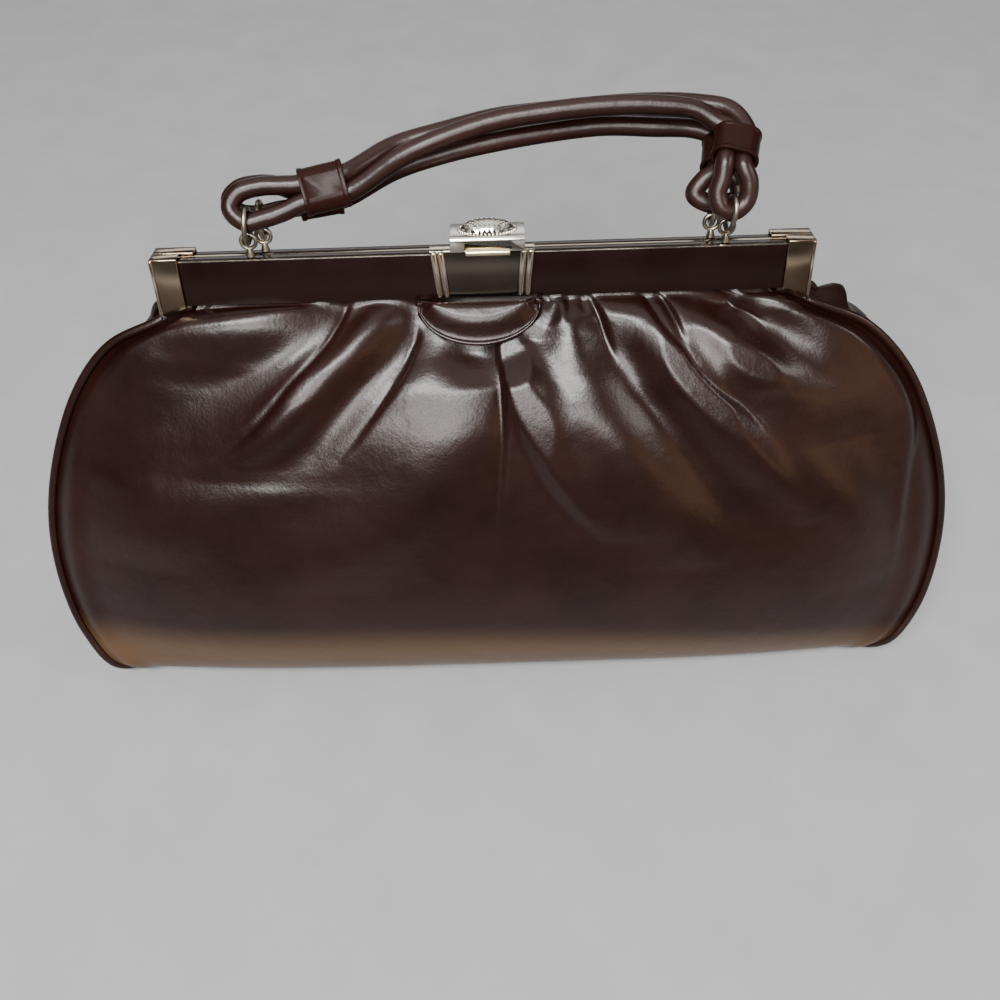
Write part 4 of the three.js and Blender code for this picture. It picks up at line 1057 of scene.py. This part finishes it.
# %% Clasp plate
plate = block("metal_plate", (-16.5, -5.25, 0.6), (16.5, -4.25, 16.55))
for vert in plate.data.vertices:
    if vert.co.z < 5 * MM:
        vert.co.x *= 15 / 16.5
lip = block("lip", (-16.5, -5.25, 15.55), (16.5, -0.35, 16.55))
parts = [plate, lip]
for part in parts:
    apply(part, "BEVEL", width=0.25 * MM, segments=3)
for side in (-1, 1):
    for order in (0.5, 1.5):
        bpy.ops.mesh.primitive_cylinder_add(vertices=32, radius=1.15 * MM, depth=15.4 * MM)
        rib = bpy.context.object
        apply(rib, "BEVEL", width=0.5 * MM, segments=4, angle_limit=1)
        move(rib, Matrix.Translation(
            Vector((side * (15.75 - order * 2.3), -5.25, 8.75)) * MM
        ) @ Matrix.Rotation(side * 0.09, 4, "Y"))
        parts.append(rib)
# The plate's flat face gets the darker chrome, a painted dark reflection. The ribs and the lip stay bright
# chrome.
plate.data.materials.append(CHROME_PAINTED_DARK)
for part in parts[1:]:
    part.data.materials.append(CHROME)
plate = join("metal_plate", *parts)
move(plate, FRAME_AXES)
done(plate, "chrome", "clasp_plate", angle=30)

# %% [markdown]
# ## Catch
# The brass catch stands on the plate and curls forward through the notch of the lever.
# Two extrusions of the front face bend it over and down.

# %% Catch
catch = block("brass_catch", (-5.15, -5.6, 17.2), (8.75, -1.4, 18.5))
pick(catch, lambda middle, aim: aim.y < -0.9)
bpy.ops.mesh.extrude_region_move(TRANSFORM_OT_translate={"value": (0, -1.6 * MM, -0.4 * MM)})
bpy.ops.mesh.extrude_region_move(TRANSFORM_OT_translate={"value": (0, -1.2 * MM, -1 * MM)})
bpy.ops.object.mode_set(mode="OBJECT")
apply(catch, "BEVEL", width=0.3 * MM, segments=3)
move(catch, FRAME_AXES)
catch.data.materials.append(BRASS)
done(catch, "brass", "clasp_catch", angle=30)

# %% [markdown]
# ## Lever
# The lever is a hollow cap with a rounded front edge, a notch for the catch and a domed grip.
# The hollow is an inset lower face that is pushed up, and a Boolean cuts the notch.

# %% Lever shell
lever = block("metal_lever", (-9.85, -7.6, 16.9), (13.45, 4.2, 21.6))
pick(lever, lambda middle, aim: aim.z < -0.9)
bpy.ops.mesh.inset(thickness=1 * MM)
bpy.ops.mesh.extrude_region_move(TRANSFORM_OT_translate={"value": (0, 0, 3.3 * MM)})
pick(lever, lambda middle, aim: middle.z > 21.5 and middle.y < -7.5, "EDGE")
bpy.ops.mesh.bevel(offset=1.2 * MM, segments=6)
bpy.ops.object.mode_set(mode="OBJECT")
cutter = block("cutter", (-5.95, -9, 15), (9.55, -6, 20.2))
for vert in cutter.data.vertices:
    if vert.co.z > 19 * MM:
        vert.co.x = TOP_SHIFT * MM + (vert.co.x - TOP_SHIFT * MM) * 0.9
apply(lever, "BOOLEAN", object=cutter, operation="DIFFERENCE", solver="EXACT")
bpy.data.objects.remove(cutter)
apply(lever, "BEVEL", width=0.22 * MM, segments=3, angle_limit=math.radians(50))
print("lever shell faces:", len(lever.data.polygons))

# %% [markdown]
# ### Hobnail dome
# The grip is covered with small points in diamond rows and framed with beads.
# A grid turned by 45 degrees is trimmed to an ellipse and raised to a dome, and Poke lifts the middle of
# every face to a point.

# %% Dome
bpy.ops.mesh.primitive_grid_add(x_subdivisions=18, y_subdivisions=18, size=2.2)
dome = bpy.context.object
edit(dome)
bpy.ops.mesh.select_all(action="SELECT")
bpy.ops.transform.rotate(value=math.pi / 4, orient_axis="Z", center_override=(0, 0, 0))
bpy.ops.transform.resize(value=(9, 9, 1), center_override=(0, 0, 0))
bpy.ops.mesh.select_all(action="DESELECT")
mesh = bmesh.from_edit_mesh(dome.data)
for face in mesh.faces:
    middle = face.calc_center_median()
    face.select_set((middle.x / 8.2) ** 2 + (middle.y / 4.5) ** 2 > 1)
bmesh.update_edit_mesh(dome.data)
bpy.ops.mesh.delete(type="FACE")
mesh = bmesh.from_edit_mesh(dome.data)
for vert in mesh.verts:
    round_out = min(1, (vert.co.x / 8.6) ** 2 + (vert.co.y / 4.9) ** 2)
    vert.co = Vector((vert.co.x, vert.co.y, 3.1 * math.sqrt(1 - round_out))) * MM
bmesh.update_edit_mesh(dome.data)
bpy.ops.mesh.select_all(action="SELECT")
bpy.ops.mesh.poke(offset=0.3 * MM)
bpy.ops.object.mode_set(mode="OBJECT")
beads = []
for i in range(46):
    angle = 2 * math.pi * i / 46
    bpy.ops.mesh.primitive_ico_sphere_add(
        subdivisions=2, radius=0.5 * MM,
        location=(8.9 * math.cos(angle) * MM, 4.65 * math.sin(angle) * MM, 0.2 * MM),
    )
    beads.append(bpy.context.object)
    bpy.ops.object.transform_apply()
dome = join("dome", dome, *beads)
move(dome, Matrix.Translation(Vector((TOP_SHIFT, -1.1, 21.5)) * MM))
print("dome faces:", len(dome.data.polygons))

# %% [markdown]
# ### Hinge of the lever
# A tongue and a knuckle at the back turn on the pin, so the finished lever rides on the body that moves.

# %% Lever hinge
tongue = block("tongue", (-5.85, 3.2, 16.9), (9.45, 5.9, 18.3))
bpy.ops.mesh.primitive_cylinder_add(vertices=32, radius=1.4 * MM, depth=15.3 * MM)
knuckle = bpy.context.object
move(knuckle, Matrix.Translation(Vector((TOP_SHIFT, 5.9, 18.3)) * MM) @ Matrix.Rotation(math.pi / 2, 4, "Y"))
lever = join("metal_lever", lever, dome, tongue, knuckle)
move(lever, FRAME_AXES)
lever.data.materials.append(SILVER)
done(lever, "chrome", "clasp_lever", body="clasp", angle=30)

# %% [markdown]
# ## Hinge base and pins
# The base hooks over the back bar and holds an outer knuckle at each side of the lever's own.
# The three pins stay as the CAD made them and only get a finish.

# %% Hinge base and pins
parts = [
    block("base_top", (-9.85, 0.35, 15.55), (13.45, 5.25, 16.35)),
    block("base_back", (-9.85, 4.25, 7.2), (13.45, 5.25, 16.3)),
]
for low, high in ((-9.85, -6.2), (9.8, 13.45)):
    bpy.ops.mesh.primitive_cylinder_add(vertices=32, radius=1.4 * MM, depth=(high - low) * MM)
    knuckle = bpy.context.object
    move(knuckle, Matrix.Translation(
        Vector(((low + high) / 2, 5.9, 18.3)) * MM
    ) @ Matrix.Rotation(math.pi / 2, 4, "Y"))
    parts += [knuckle, block("foot", (low, 4.5, 15.55), (high, 5.9, 18.3))]
base = join("metal_hinge", *parts)
apply(base, "BEVEL", width=0.2 * MM, segments=2)
move(base, FRAME_AXES)
base.data.materials.append(CHROME)
done(base, "chrome", "clasp_hinge", angle=30)
for name in ("clasp_pin", "hinge_pin_left", "hinge_pin_right"):
    node = frame["nodes"][name]
    node.data.materials.clear()
    node.data.materials.append(WIRE)
